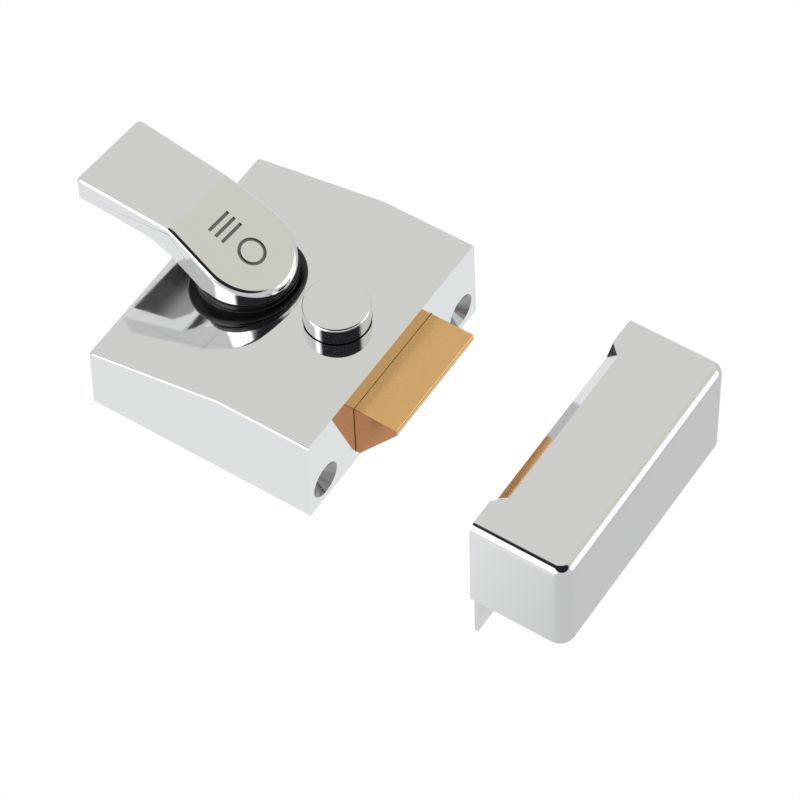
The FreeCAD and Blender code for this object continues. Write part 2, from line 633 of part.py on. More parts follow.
# ---------------------------------------------------------------- keep
def make_keep_box():
    block = box(KEEP_X, KEEP_END, -KEEP_HALF, KEEP_HALF, 0, KEEP_TOP)
    corners = [e for e in upright_edges(block) if e.BoundBox.XMin > KEEP_END - 1]
    block = block.makeFillet(KEEP_CORNER_R, corners)
    rim = [e for e in block.Edges if e.BoundBox.ZMin > KEEP_TOP - 0.1 and e.BoundBox.XMax > KEEP_X + 1]
    block = block.makeFillet(KEEP_EDGE_R, rim)
    inside = box(KEEP_X - 1, KEEP_END - KEEP_WALL, -KEEP_HALF + KEEP_WALL, KEEP_HALF - KEEP_WALL,
                 -1, KEEP_TOP - KEEP_ROOF)
    inner = [e for e in upright_edges(inside) if e.BoundBox.XMin > KEEP_END - KEEP_WALL - 1]
    keep = block.cut(inside.makeFillet(KEEP_CORNER_R - KEEP_WALL, inner))
    keep = keep.cut(mouth_cut())
    post_h = KEEP_TOP - KEEP_ROOF - STEEL_T + 0.5
    posts = [rod(KEEP_POST_R, post_h, (x, y, STEEL_T)) for x, y in KEEP_SCREWS]
    keep = joined(keep, *posts)
    for x, y in KEEP_SCREWS:
        keep = keep.cut(rod(M3_TAP_R, 9, (x, y, STEEL_T - 0.5)))
    return keep


def mouth_cut():
    """The ramp in the roof's leading edge, with its sides flared out to the face."""
    out, up = 0.5, 1.0
    lean = MOUTH_DEPTH_X / MOUTH_DEPTH_Z

    def section(y, share):
        return [V(KEEP_X - out, y, KEEP_TOP + up),
                V(KEEP_X + MOUTH_DEPTH_X * share + up * lean, y, KEEP_TOP + up),
                V(KEEP_X - out, y, KEEP_TOP - MOUTH_DEPTH_Z * share - out / lean)]

    straight = tapered(section(-MOUTH_HALF, 1.0), section(MOUTH_HALF, 1.0))
    ends = [tapered(section(s * MOUTH_HALF, 1.0), section(s * MOUTH_END, 0.0)) for s in (-1, 1)]
    return joined(straight, *ends)


KEEP_SCREWS = [(x, y) for x in (KEEP_X + 8.2, KEEP_END - 8.0) for y in (-44.6, 44.6)]
KEEP_POST_R = 5.2
KEEP_WOOD = [(KEEP_X + 20.0, -25.0), (KEEP_X + 20.0, 25.0)]
FLANGE_X = KEEP_X + 0.8
FLANGE_HOLE_Y, FLANGE_HOLE_Z = 30.0, -11.0
BASE_GAP = 0.3              # between the steel base and the box's walls
BEND_R = 1.2


def make_keep_plate():
    """Pressed steel angle: a base under the box and a flange down the frame's reveal."""
    base_half = KEEP_HALF - KEEP_WALL - BASE_GAP
    base_end = KEEP_END - KEEP_WALL - BASE_GAP - 0.1
    base = box(FLANGE_X, base_end, -base_half, base_half, 0, STEEL_T)
    corners = [e for e in base.Edges if e.BoundBox.XMin > base_end - 1
               and abs(e.BoundBox.ZLength - STEEL_T) < 0.1]
    base = base.makeFillet(PLATE_CORNER_R, corners)
    flange = box(FLANGE_X, FLANGE_X + FLANGE_T, -FLANGE_HALF, FLANGE_HALF, -FLANGE_DROP, -0.1)
    root = box(FLANGE_X, FLANGE_X + FLANGE_T, -base_half, base_half, -0.5, STEEL_T)
    plate = joined(base, root, flange)
    bend = [e for e in plate.Edges if abs(e.BoundBox.XMin - FLANGE_X) < 0.01 and e.BoundBox.XLength < 0.01
            and e.BoundBox.ZMin > STEEL_T - 0.01 and e.Length > 20]
    plate = plate.makeFillet(BEND_R, bend)
    for x, y in KEEP_SCREWS:
        plate = plate.cut(sunk_hole(M3_CLEAR_R, M3_SINK_R + 0.2, 4, (x, y, 0), Z))
    for x, y in KEEP_WOOD:
        plate = plate.cut(sunk_hole(WOOD_R, WOOD_HEAD_R, 4, (x, y, STEEL_T), -Z))
    for s in (-1, 1):
        plate = plate.cut(rod(WOOD_R, 6, (FLANGE_X - 2, s * FLANGE_HOLE_Y, FLANGE_HOLE_Z), X))
    return plate


def make_keep_plate_screws():
    return group([sunk_screw(M3_R, M3_HEAD_R + 0.1, 9.0, (x, y, 0.15), Z) for x, y in KEEP_SCREWS])


# ---------------------------------------------------------------- write every piece
MAKERS = {
    "case_shell": make_case_shell, "back_plate": make_back_plate,
    "back_plate_screws": make_back_plate_screws, "mounting_plate": make_mounting_plate,
    "lever_collar": make_lever_collar, "collar_retainer": make_collar_retainer,
    "lever_handle": make_lever_handle, "lever_washer": make_lever_washer,
    "lever_clip": make_lever_clip, "follower": make_follower,
    "follower_peg": make_follower_peg, "lever_spring": make_lever_spring,
    "latch_bolt": make_latch_bolt, "bolt_tail": make_bolt_tail,
    "bolt_rivets": make_bolt_rivets, "bolt_springs": make_bolt_springs,
    "spring_guides": make_spring_guides, "button_cap": make_button_cap,
    "button_pin": make_button_pin, "button_guide": make_button_guide,
    "button_guide_screws": make_button_guide_screws, "button_spring": make_button_spring,
    "keep_box": make_keep_box, "keep_plate": make_keep_plate,
    "keep_plate_screws": make_keep_plate_screws,
}

os.makedirs("parts", exist_ok=True)
for name, make in MAKERS.items():
    nodes[name] = make()
    nodes[name].exportStep(f"parts/{name}.step")
    size = nodes[name].BoundBox
    print(f"{name:20s} solids {len(nodes[name].Solids)} volume {nodes[name].Volume:9.1f} mm3 "
          f"valid {nodes[name].isValid()} x {size.XMin:.1f}..{size.XMax:.1f} "
          f"y {size.YMin:.1f}..{size.YMax:.1f} z {size.ZMin:.1f}..{size.ZMax:.1f}")
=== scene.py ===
"""Rim night latch: its visible pieces, finishes and studio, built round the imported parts.

Sizes are given in millimetres and turned into metres by the helpers. The lever's axis is
the Z axis, +X is the way the bolt is thrown and z = 0 is the door face.
"""
import math

import bpy
from bpy.props import FloatProperty, FloatVectorProperty, PointerProperty
from mathutils import Matrix, Vector


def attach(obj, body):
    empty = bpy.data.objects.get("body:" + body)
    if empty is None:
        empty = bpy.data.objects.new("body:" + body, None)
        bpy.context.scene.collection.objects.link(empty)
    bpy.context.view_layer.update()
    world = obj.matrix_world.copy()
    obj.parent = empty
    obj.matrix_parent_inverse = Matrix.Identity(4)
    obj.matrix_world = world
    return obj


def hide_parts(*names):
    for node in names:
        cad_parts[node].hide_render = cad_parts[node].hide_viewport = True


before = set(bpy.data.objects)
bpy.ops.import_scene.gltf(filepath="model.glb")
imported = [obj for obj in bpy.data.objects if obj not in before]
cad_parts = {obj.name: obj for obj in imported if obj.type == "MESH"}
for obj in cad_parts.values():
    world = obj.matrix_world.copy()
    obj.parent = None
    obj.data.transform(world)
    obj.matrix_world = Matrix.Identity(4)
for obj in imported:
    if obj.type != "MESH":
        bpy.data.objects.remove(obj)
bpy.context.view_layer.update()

bl_info = {
    "name": "Rim Night Latch",
    "version": (1, 0, 0),
    "blender": (4, 5, 0),
    "location": "3D View > Sidebar > Latch",
    "description": "Models and finishes a surface-mounted night latch and its keep",
    "category": "Object",
}

MM = 0.001
X, Z = Vector((1, 0, 0)), Vector((0, 0, 1))

# Places and hole sizes that more than one piece shares.
BUTTON_X = 37.5
EDGE_SCREW_Y = 42.7
GUIDE_SCREW_Y = 28.2
PLATE_SCREW_X, PLATE_SCREW_Y = (-23, 35), 43
SPRING_Y, SPRING_Z = 15, 20
KEEP_SCREW_Y = 44.6
KEEP_SCREW_INSET = (8.2, 8.0)       # from the keep's open side and from its far side
TAP_R, CLEAR_R = 1.5, 1.7           # small screws: tapped and clearance holes
WOOD_R, WOOD_SINK_R = 2.5, 4.4      # wood screws: hole and countersink
CASE_DRAFT = 1.0                    # how far the case's rear end leans in at its full height

GRAIN_RANGE = (0.3, 0.7)            # the part of a noise's values that a finish varies over


# ------------------------------------------------------------------ selection and shaping
def select_only(*objects):
    bpy.ops.object.select_all(action="DESELECT")
    for obj in objects:
        obj.select_set(True)
    bpy.context.view_layer.objects.active = objects[0]


def pick(obj, kind, test):
    """Goes into edit mode with just those vertices, edges or faces selected that pass test."""
    select_only(obj)
    bpy.ops.object.mode_set(mode="EDIT")
    bpy.ops.mesh.select_mode(type=kind)
    bpy.ops.mesh.select_all(action="DESELECT")
    bpy.ops.object.mode_set(mode="OBJECT")
    mesh = obj.data
    if kind == "VERT":
        for vertex in mesh.vertices:
            vertex.select = test(vertex.co / MM)
    elif kind == "EDGE":
        for edge in mesh.edges:
            edge.select = test(*[mesh.vertices[i].co / MM for i in edge.vertices])
    else:
        for face in mesh.polygons:
            face.select = test(face.center / MM, face.normal)
    bpy.ops.object.mode_set(mode="EDIT")


def done_picking():
    bpy.ops.object.mode_set(mode="OBJECT")


def round_edges(obj, radius, steps, test):
    """Rounds the edges whose two ends pass test."""
    pick(obj, "EDGE", test)
    bpy.ops.mesh.bevel(offset=radius * MM, segments=steps, affect="EDGES", profile=0.5)
    done_picking()


def all_edges(obj):
    pick(obj, "EDGE", lambda a, b: True)


def apply_place(obj):
    select_only(obj)
    bpy.ops.object.transform_apply(location=True, rotation=True, scale=True)


def block(name, x0, x1, y0, y1, z0, z1):
    middle = (MM * (x0 + x1) / 2, MM * (y0 + y1) / 2, MM * (z0 + z1) / 2)
    bpy.ops.mesh.primitive_cube_add(size=1, location=middle)
    obj = bpy.context.active_object
    obj.name = name
    obj.scale = (MM * (x1 - x0), MM * (y1 - y0), MM * (z1 - z0))
    apply_place(obj)
    return obj


def rod(name, radius, length, base, axis=Z, end_radius=None, sides=96):
    """A round bar or a cone from base along axis."""
    end = radius if end_radius is None else end_radius
    middle = (Vector(base) + axis * length / 2) * MM
    turn = Z.rotation_difference(axis).to_euler()
    bpy.ops.mesh.primitive_cone_add(vertices=sides, radius1=radius * MM, radius2=end * MM,
                                    depth=length * MM, location=middle, rotation=turn)
    obj = bpy.context.active_object
    obj.name = name
    apply_place(obj)
    return obj


def trim(obj, point, normal):
    """Slices off what lies beyond the plane, on the side its normal points to."""
    all_edges(obj)
    bpy.ops.mesh.bisect(plane_co=Vector(point) * MM, plane_no=Vector(normal).normalized(),
                        use_fill=True, clear_outer=True, threshold=1e-7)
    done_picking()
    return obj


def combine(obj, tool, how):
    """Cuts, joins or intersects obj with tool, which is used up."""
    select_only(obj)
    bpy.ops.object.modifier_add(type="BOOLEAN")
    modifier = obj.modifiers[-1]
    modifier.operation = how
    modifier.solver = "EXACT"
    modifier.object = tool
    bpy.ops.object.modifier_apply(modifier=modifier.name)
    bpy.data.objects.remove(tool)
    return obj


def cut(obj, *tools):
    for tool in tools:
        combine(obj, tool, "DIFFERENCE")
    return obj


def join(obj, *tools):
    for tool in tools:
        combine(obj, tool, "UNION")
    return obj


def countersunk(radius, head_radius, length, top, axis):
    """The tools that drill and countersink a screw hole from top along axis."""
    lead = 0.2
    start = Vector(top) - axis * lead
    return [rod("drill", radius, length + 1, Vector(top) - axis, axis, sides=64),
            rod("sink", head_radius + lead, head_radius + lead - radius, start, axis, radius, 64)]


def turn_about_z(obj, degrees):
    obj.rotation_euler = (0, 0, math.radians(degrees))
    apply_place(obj)


def smooth(obj, degrees=32):
    """Smooth shading that keeps flat faces flat between rounded edges."""
    select_only(obj)
    bpy.ops.object.mode_set(mode="EDIT")
    bpy.ops.mesh.select_all(action="SELECT")
    bpy.ops.mesh.remove_doubles(threshold=0.000002)
    bpy.ops.mesh.normals_make_consistent(inside=False)
    bpy.ops.object.mode_set(mode="OBJECT")
    bpy.ops.object.shade_smooth_by_angle(angle=math.radians(degrees))
    bpy.ops.object.modifier_add(type="WEIGHTED_NORMAL")
    modifier = obj.modifiers[-1]
    modifier.keep_sharp = True
    modifier.weight = 80
    bpy.ops.object.modifier_apply(modifier=modifier.name)


def finish_piece(obj, body, nodes, slot, degrees=32):
    """Shades the piece, gives it its finish and hands it to the body it moves with."""
    smooth(obj, degrees)
    obj.data.materials.clear()
    obj.data.materials.append(finish_for(slot))
    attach(obj, body)
    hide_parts(*nodes)


def second_finish(obj, slot, test):
    """Gives the faces that pass test another finish; every use here darkens them as painted shade.
    """
    pick(obj, "FACE", test)
    obj.data.materials.append(finish_for(slot))
    obj.active_material_index = len(obj.data.materials) - 1
    bpy.ops.object.material_slot_assign()
    done_picking()


def run(operator):
    """Calls an operator and stops the script where it can't finish."""
    if operator() != {"FINISHED"}:
        raise RuntimeError("a step of the latch could not finish")


# ------------------------------------------------------------------ finishes
def base_finish(shader, colour, metallic, roughness):
    shader.inputs["Base Color"].default_value = (*colour, 1)
    shader.inputs["Metallic"].default_value = metallic
    shader.inputs["Roughness"].default_value = roughness


def grain(shader, scale, stretch=(1, 1, 1), detail=4.0, rough=0.6):
    """Noise fixed to the piece, drawn out along an axis by stretch."""
    nodes, links = shader.id_data.nodes, shader.id_data.links
    place = nodes.new("ShaderNodeTexCoord")
    mapping = nodes.new("ShaderNodeMapping")
    mapping.inputs["Scale"].default_value = stretch
    noise = nodes.new("ShaderNodeTexNoise")
    noise.inputs["Scale"].default_value = scale
    noise.inputs["Detail"].default_value = detail
    noise.inputs["Roughness"].default_value = rough
    links.new(place.outputs["Object"], mapping.inputs["Vector"])
    links.new(mapping.outputs["Vector"], noise.inputs["Vector"])
    return noise.outputs["Fac"]


def vary_roughness(shader, value, low, high):
    """Runs the roughness from low to high over a grain's middle range."""
    nodes, links = shader.id_data.nodes, shader.id_data.links
    ranged = nodes.new("ShaderNodeMapRange")
    ranged.inputs["From Min"].default_value, ranged.inputs["From Max"].default_value = GRAIN_RANGE
    ranged.inputs["To Min"].default_value = low
    ranged.inputs["To Max"].default_value = high
    links.new(value, ranged.inputs["Value"])
    links.new(ranged.outputs["Result"], shader.inputs["Roughness"])


def tint(shader, value, shade, light):
    """Runs the base colour between two shades by a grain."""
    nodes, links = shader.id_data.nodes, shader.id_data.links
    ramp = nodes.new("ShaderNodeValToRGB")
    for stop, place, colour in zip(ramp.color_ramp.elements, GRAIN_RANGE, (shade, light)):
        stop.position = place
        stop.color = (*colour, 1)
    links.new(value, ramp.inputs["Fac"])
    links.new(ramp.outputs["Color"], shader.inputs["Base Color"])


def relief(shader, value, strength, depth):
    nodes, links = shader.id_data.nodes, shader.id_data.links
    bump = nodes.new("ShaderNodeBump")
    bump.inputs["Strength"].default_value = strength
    bump.inputs["Distance"].default_value = depth * MM
    links.new(value, bump.inputs["Height"])
    links.new(bump.outputs["Normal"], shader.inputs["Normal"])


def shaded(colour, factor):
    return tuple(c * factor for c in colour)


def chrome_finish(shader):
    """Mirror-bright chromium with faint polishing haze."""
    settings = bpy.context.scene.latch_finishes
    low = settings.chrome_roughness
    base_finish(shader, settings.chrome, 1.0, low)
    vary_roughness(shader, grain(shader, 260, detail=6), low * 0.7, low * 1.5)


def brass_finish(shader, painted_shade=(1.0, 1.0, 1.0)):
    """Satin brass with fine scratches along the bolt's length; painted_shade darkens and reddens it
    where shade is painted.
    """
    settings = bpy.context.scene.latch_finishes
    colour = tuple(c * d for c, d in zip(settings.brass, painted_shade))
    low = settings.brass_roughness
    base_finish(shader, colour, 1.0, low)
    scratches = grain(shader, 1.0, (900, 60, 900), detail=6)
    cloud = grain(shader, 60)
    tint(shader, cloud, shaded(colour, 0.97), shaded(colour, 1.01))
    vary_roughness(shader, scratches, low * 0.96, low * 1.05)
    relief(shader, scratches, 0.015, 0.01)


def core_painted_shade_finish(shader):
    """The lever's cored hollow: plated but unpolished casting, with its colour darkened as painted
    shade in the hollow under the paddle.
    """
    base_finish(shader, (0.42, 0.42, 0.42), 1.0, 0.32)
    sand = grain(shader, 900)
    tint(shader, sand, (0.36, 0.36, 0.36), (0.48, 0.48, 0.48))
    vary_roughness(shader, sand, 0.28, 0.45)


def bored_painted_shade_finish(shader):
    """The bored and countersunk screw holes, plated thinly and not polished out, with their colour
    darkened as painted shade in the holes.
    """
    base_finish(shader, (0.34, 0.34, 0.35), 1.0, 0.14)
    vary_roughness(shader, grain(shader, 1.0, (2400, 150, 150)), 0.1, 0.22)


def sunk_mark_painted_shade_finish(shader):
    """The sunk mark's floor and walls, left dull and darkened as painted shade in the recess."""
    base_finish(shader, (0.28, 0.28, 0.28), 1.0, 0.4)
    vary_roughness(shader, grain(shader, 1200, detail=3), 0.32, 0.5)


def nylon_finish(shader):
    """Black moulded nylon with a faint grain."""
    colour = bpy.context.scene.latch_finishes.nylon
    base_finish(shader, colour, 0.0, 0.2)
    shader.inputs["Specular IOR Level"].default_value = 0.3
    fine = grain(shader, 900, detail=3)
    tint(shader, fine, shaded(colour, 0.8), shaded(colour, 1.3))
    vary_roughness(shader, fine, 0.16, 0.24)
    relief(shader, fine, 0.05, 0.01)


def steel_finish(shader, colour, roughness, stretch):
    """Steel with rolling or turning lines drawn along one axis."""
    base_finish(shader, colour, 1.0, roughness)
    lines = grain(shader, 1.0, stretch, detail=6, rough=0.65)
    cloud = grain(shader, 55, detail=5)
    tint(shader, cloud, shaded(colour, 0.88), shaded(colour, 1.06))
    vary_roughness(shader, lines, roughness * 0.75, roughness * 1.35)
    relief(shader, lines, 0.1, 0.015)


def cast_zinc_finish(shader):
    """Dull grey casting with a fine sandy skin."""
    colour = bpy.context.scene.latch_finishes.zinc
    base_finish(shader, colour, 0.9, 0.5)
    sand = grain(shader, 1400, detail=3)
    cloud = grain(shader, 130, detail=5)
    tint(shader, cloud, shaded(colour, 0.8), shaded(colour, 1.12))
    vary_roughness(shader, sand, 0.42, 0.6)
    relief(shader, sand, 0.25, 0.03)


def drawn_wire_finish(shader):
    """Oil-tempered spring wire, dark with fine drawing marks."""
    base_finish(shader, (0.33, 0.33, 0.35), 1.0, 0.34)
    marks = grain(shader, 2200)
    tint(shader, marks, (0.24, 0.24, 0.26), (0.42, 0.42, 0.44))
    vary_roughness(shader, marks, 0.26, 0.44)


FINISH_MAKERS = {
    "chrome": chrome_finish,
    "bolt_brass": brass_finish,
    # The bolt's side faces and underside: brass darkened and reddened as painted shade.
    "brass_side_painted_shade": lambda shader: brass_finish(shader, (0.63, 0.44, 0.38)),
    "lever_core_painted_shade": core_painted_shade_finish,
    "mark_painted_shade": sunk_mark_painted_shade_finish,
    "bored": bored_painted_shade_finish,
    "black_nylon": nylon_finish,
    "zinc_steel": lambda shader: steel_finish(shader, (0.62, 0.64, 0.67), 0.34, (500, 40, 500)),
    "bright_steel": lambda shader: steel_finish(shader, (0.8, 0.8, 0.79), 0.2, (700, 50, 700)),
    "cast_zinc": cast_zinc_finish,
    "screw_steel": lambda shader: steel_finish(shader, (0.58, 0.58, 0.6), 0.3, (300, 300, 40)),
    "spring_steel": drawn_wire_finish,
}


def finish_for(slot):
    """The slot's finish, made the first time it is asked for."""
    key = "latch_" + slot
    if key not in bpy.data.materials:
        material = bpy.data.materials.new(key)
        material.use_nodes = True
        FINISH_MAKERS[slot](material.node_tree.nodes["Principled BSDF"])
    return bpy.data.materials[key]


# ------------------------------------------------------------------ settings
def length(name, description, default):
    return FloatProperty(name=name, description=description, default=default, min=0.0)


def colour(name, description, default):
    return FloatVectorProperty(name=name, description=description, default=default,
                               subtype="COLOR", size=3, min=0.0, max=1.0)


class LatchCaseSettings(bpy.types.PropertyGroup):
    rear: length("Rear", "Lever axis to the case's rear end at the door, mm", 32.5)
    backset: length("Backset", "Lever axis to the edge face, mm", 60.0)
    half: length("Half length", "Half the case's length at the door, mm", 52.5)
    top: length("Height", "Height of the flat front part, mm", 38.0)
    low: length("Rear height", "Height of the case at its rear end, mm", 27.0)
    crease: length("Crease", "Lever axis to where the top turns down, mm", 23.0)
    wall: length("Wall", "Wall thickness, mm", 2.8)
    corner: length("Corner radius", "Radius of the upright corners, mm", 1.5)
    edge: length("Edge radius", "Radius round the top, mm", 1.2)
    screw_z: length("Screw height", "Height of the edge screws above the door, mm", 9.8)


class LatchLeverSettings(bpy.types.PropertyGroup):
    nose: length("Nose radius", "Radius of the round end, mm", 17.9)
    nose_top: length("Nose height", "Height of the round end, mm", 45.2)
    bend: length("Bend", "Axis to where the neck meets the paddle, mm", 20.2)
    bend_half: length("Half width at bend", "Half the width at the bend, mm", 16.0)
    end: length("Paddle end", "Axis to the paddle's end, mm", 61.3)
    end_half: length("Half width at end", "Half the width at the paddle's end, mm", 17.3)
    top: length("Paddle height", "Height of the paddle's top, mm", 61.0)
    thick: length("Paddle thickness", "Thickness of the paddle, mm", 9.5)
    skirt: length("Skirt", "Height of the round end's underside, mm", 41.6)
    edge: length("Edge radius", "Radius round the top, mm", 1.8)
    rest: FloatProperty(name="Rest angle", description="How far off square the lever rests",
                        default=math.radians(-4.5), subtype="ANGLE", unit="ROTATION")


class LatchBoltSettings(bpy.types.PropertyGroup):
    half: length("Half width", "Half the bolt's width, mm", 24.3)
    low: length("Underside", "Height of the bolt's underside, mm", 4.7)
    high: length("Top", "Height of the bolt's top, mm", 29.1)
    throw: length("Throw", "How far the bolt stands out, mm", 17.6)
    land: length("Land", "Thickness left at the tip, mm", 2.6)


class LatchButtonSettings(bpy.types.PropertyGroup):
    place: length("Place", "Lever axis to the button's axis, mm", BUTTON_X)
    radius: length("Radius", "Radius of the cap, mm", 11.95)
    top: length("Top", "Height of the cap, mm", 45.8)


class LatchKeepSettings(bpy.types.PropertyGroup):
    start: length("Start", "Lever axis to the keep's open side, mm", 124.3)
    width: length("Width", "Width of the keep, mm", 37.6)
    half: length("Half length", "Half the keep's length, mm", 51.8)
    top: length("Height", "Height of the keep, mm", 41.8)
    wall: length("Wall", "Wall thickness, mm", 3.0)
    roof: length("Roof", "Roof thickness, mm", 5.0)
    corner: length("Corner radius", "Radius of the upright corners, mm", 5.6)
    edge: length("Edge radius", "Radius round the top, mm", 3.8)
    drop: length("Flange drop", "How far the steel flange hangs down, mm", 20.0)


class LatchFinishSettings(bpy.types.PropertyGroup):
    chrome: colour("Chrome", "Colour of the plating", (0.86, 0.865, 0.86))
    chrome_roughness: length("Chrome roughness", "Haze of the plating", 0.055)
    brass: colour("Brass", "Colour of the bolt", (0.90, 0.55, 0.235))
    brass_roughness: length("Brass roughness", "Satin of the bolt", 0.27)
    nylon: colour("Nylon", "Colour of the collar", (0.010, 0.010, 0.012))
    zinc: colour("Cast zinc", "Colour of bare castings", (0.44, 0.44, 0.45))


class LatchStudioSettings(bpy.types.PropertyGroup):
    azimuth: FloatProperty(name="Azimuth", description="Camera's turn round the object",
                           default=math.radians(35.079), subtype="ANGLE", unit="ROTATION")
    elevation: FloatProperty(name="Elevation", description="Camera's height above the horizon",
                             default=math.radians(53.652), subtype="ANGLE", unit="ROTATION")
    roll: FloatProperty(name="Roll", description="Camera's turn about its own axis",
                        default=math.radians(-2.29), subtype="ANGLE", unit="ROTATION")
    distance: length("Distance", "Camera to the point it looks at, mm", 1326.6)
    lens: length("Lens", "Focal length on a 36 mm sensor, mm", 173.25)
    target: FloatVectorProperty(name="Target", description="Point the camera looks at, mm",
                                default=(65.22, -4.12, 15.0), size=3)


# ------------------------------------------------------------------ case
def case_plan(size, inset):
    """Rear, front and half-length of the case's outline at the door, drawn in by inset."""
    return -size.rear + inset, size.backset - inset, size.half - inset


def case_slope(size):
    """The angle at which the case's top falls behind the crease."""
    return math.atan2(size.top - size.low, size.crease + size.rear - CASE_DRAFT)


class LATCH_OT_case(bpy.types.Operator):
    """Cast case: a tapered block with a sloped rear top, hollowed, drilled and polished"""
    bl_idname = "latch.case"
    bl_label = "Case"

    SIDE_DRAFT = 0.7
    COLLAR_HOLE, BUTTON_HOLE = 17.9, 12.3
    BOLT_HOLE_HALF, BOLT_HOLE_LOW, BOLT_HOLE_HIGH = 24.6, 4.4, 29.4
    SCREW_HOLE, SCREW_SINK = 3.1, 6.9
    BOSS_FOOT, BOSS, GUIDE_BOSS = 3.7, 4.0, 3.6
    SPRING_WALL = (16.2, 19.6)
    SPRING_WALL_HALF = 4.2
    LUG_BLOCK_REAR, LUG_BLOCK_INNER, LUG_BLOCK_LOW = 45.4, 33.7, 2.4

    def tapered_block(self, size, inset, foot):
        """The case's outline drawn in by inset, standing on foot."""
        rear, front, half = case_plan(size, inset)
        obj = block("case_shell_body", rear, front, -half, half, foot, size.top - inset)
        for vertex in obj.data.vertices:
            share = vertex.co.z / MM / size.top
            if vertex.co.x < 0:
                vertex.co.x += CASE_DRAFT * share * MM
            vertex.co.y -= math.copysign(self.SIDE_DRAFT * share * MM, vertex.co.y)
        slope = case_slope(size)
        crease_z = size.top - inset / math.cos(slope)
        return trim(obj, (size.crease, 0, crease_z), (-math.sin(slope), 0, math.cos(slope)))

    def bosses(self, size):
        """The pillars and blocks cast inside the case."""
        made = [rod("boss", self.BOSS, 40, (x, y, self.BOSS_FOOT), sides=48)
                for x in PLATE_SCREW_X for y in (-PLATE_SCREW_Y, PLATE_SCREW_Y)]
        made += [rod("boss", self.GUIDE_BOSS, 20, (BUTTON_X, y, 30.5), sides=48)
                 for y in (-GUIDE_SCREW_Y, GUIDE_SCREW_Y)]
        made += [block("boss", *self.SPRING_WALL, y - self.SPRING_WALL_HALF,
                       y + self.SPRING_WALL_HALF, 15, 45) for y in (-SPRING_Y, SPRING_Y)]
        for side in (-1, 1):
            inner, outer = sorted((side * self.LUG_BLOCK_INNER, side * size.half))
            made.append(block("boss", self.LUG_BLOCK_REAR, size.backset, inner, outer,
                              self.LUG_BLOCK_LOW, size.screw_z + 9))
        return made

    def execute(self, context):
        size = context.scene.latch_case
        shell = self.tapered_block(size, 0.0, 0.0)
        round_edges(shell, size.corner, 8, lambda a, b: abs(a.z - b.z) > 20 and max(a.x, b.x) < 0)

        def rim(a, b):
            on_top = min(a.z, b.z) > size.low - 1
            across = abs(a.y - b.y) > size.half and abs(a.x - size.crease) < 1
            front = min(a.x, b.x) > size.backset - 1
            inside = min(a.x, b.x) < -size.rear + 4 or min(abs(a.y), abs(b.y)) > size.half - 4
            return on_top and inside and not across and not front

        round_edges(shell, size.edge, 5, rim)
        cut(shell, self.tapered_block(size, size.wall, -1.0))
        for boss in self.bosses(size):
            core = self.tapered_block(size, 1.2, 0.5)
            join(shell, combine(boss, core, "INTERSECT"))
        cut(shell, rod("collar_hole", self.COLLAR_HOLE, 60, (0, 0, 20), sides=128),
            rod("button_hole", self.BUTTON_HOLE, 20, (BUTTON_X, 0, 30), sides=128),
            block("bolt_opening", size.backset - 10, size.backset + 1, -self.BOLT_HOLE_HALF,
                  self.BOLT_HOLE_HALF, self.BOLT_HOLE_LOW, self.BOLT_HOLE_HIGH))
        for side in (-1, 1):
            cut(shell, *countersunk(self.SCREW_HOLE, self.SCREW_SINK, 20,
                                    (size.backset, side * EDGE_SCREW_Y, size.screw_z), -X))
            cut(shell, rod("spring_pin_hole", TAP_R, 10, (15.2, side * SPRING_Y, SPRING_Z), X,
                           sides=32))
            cut(shell, rod("guide_screw_hole", 1.2, 4.5, (BUTTON_X, side * GUIDE_SCREW_Y, 30),
                           sides=32))
            for x in PLATE_SCREW_X:
                cut(shell, rod("plate_screw_hole", TAP_R, 9, (x, side * PLATE_SCREW_Y, 3.2),
                               sides=32))
        finish_piece(shell, "case", ["case_shell"], "chrome", 30)

        def in_screw_hole(centre, normal):
            off = math.hypot(abs(centre.y) - EDGE_SCREW_Y, centre.z - size.screw_z)
            return off < 7.0 and size.backset - 20 < centre.x < size.backset - 0.05

        # The edge screw holes get a darker colour as painted shade in the holes, with a rougher
        # surface.
        second_finish(shell, "bored", in_screw_hole)
        return {"FINISHED"}


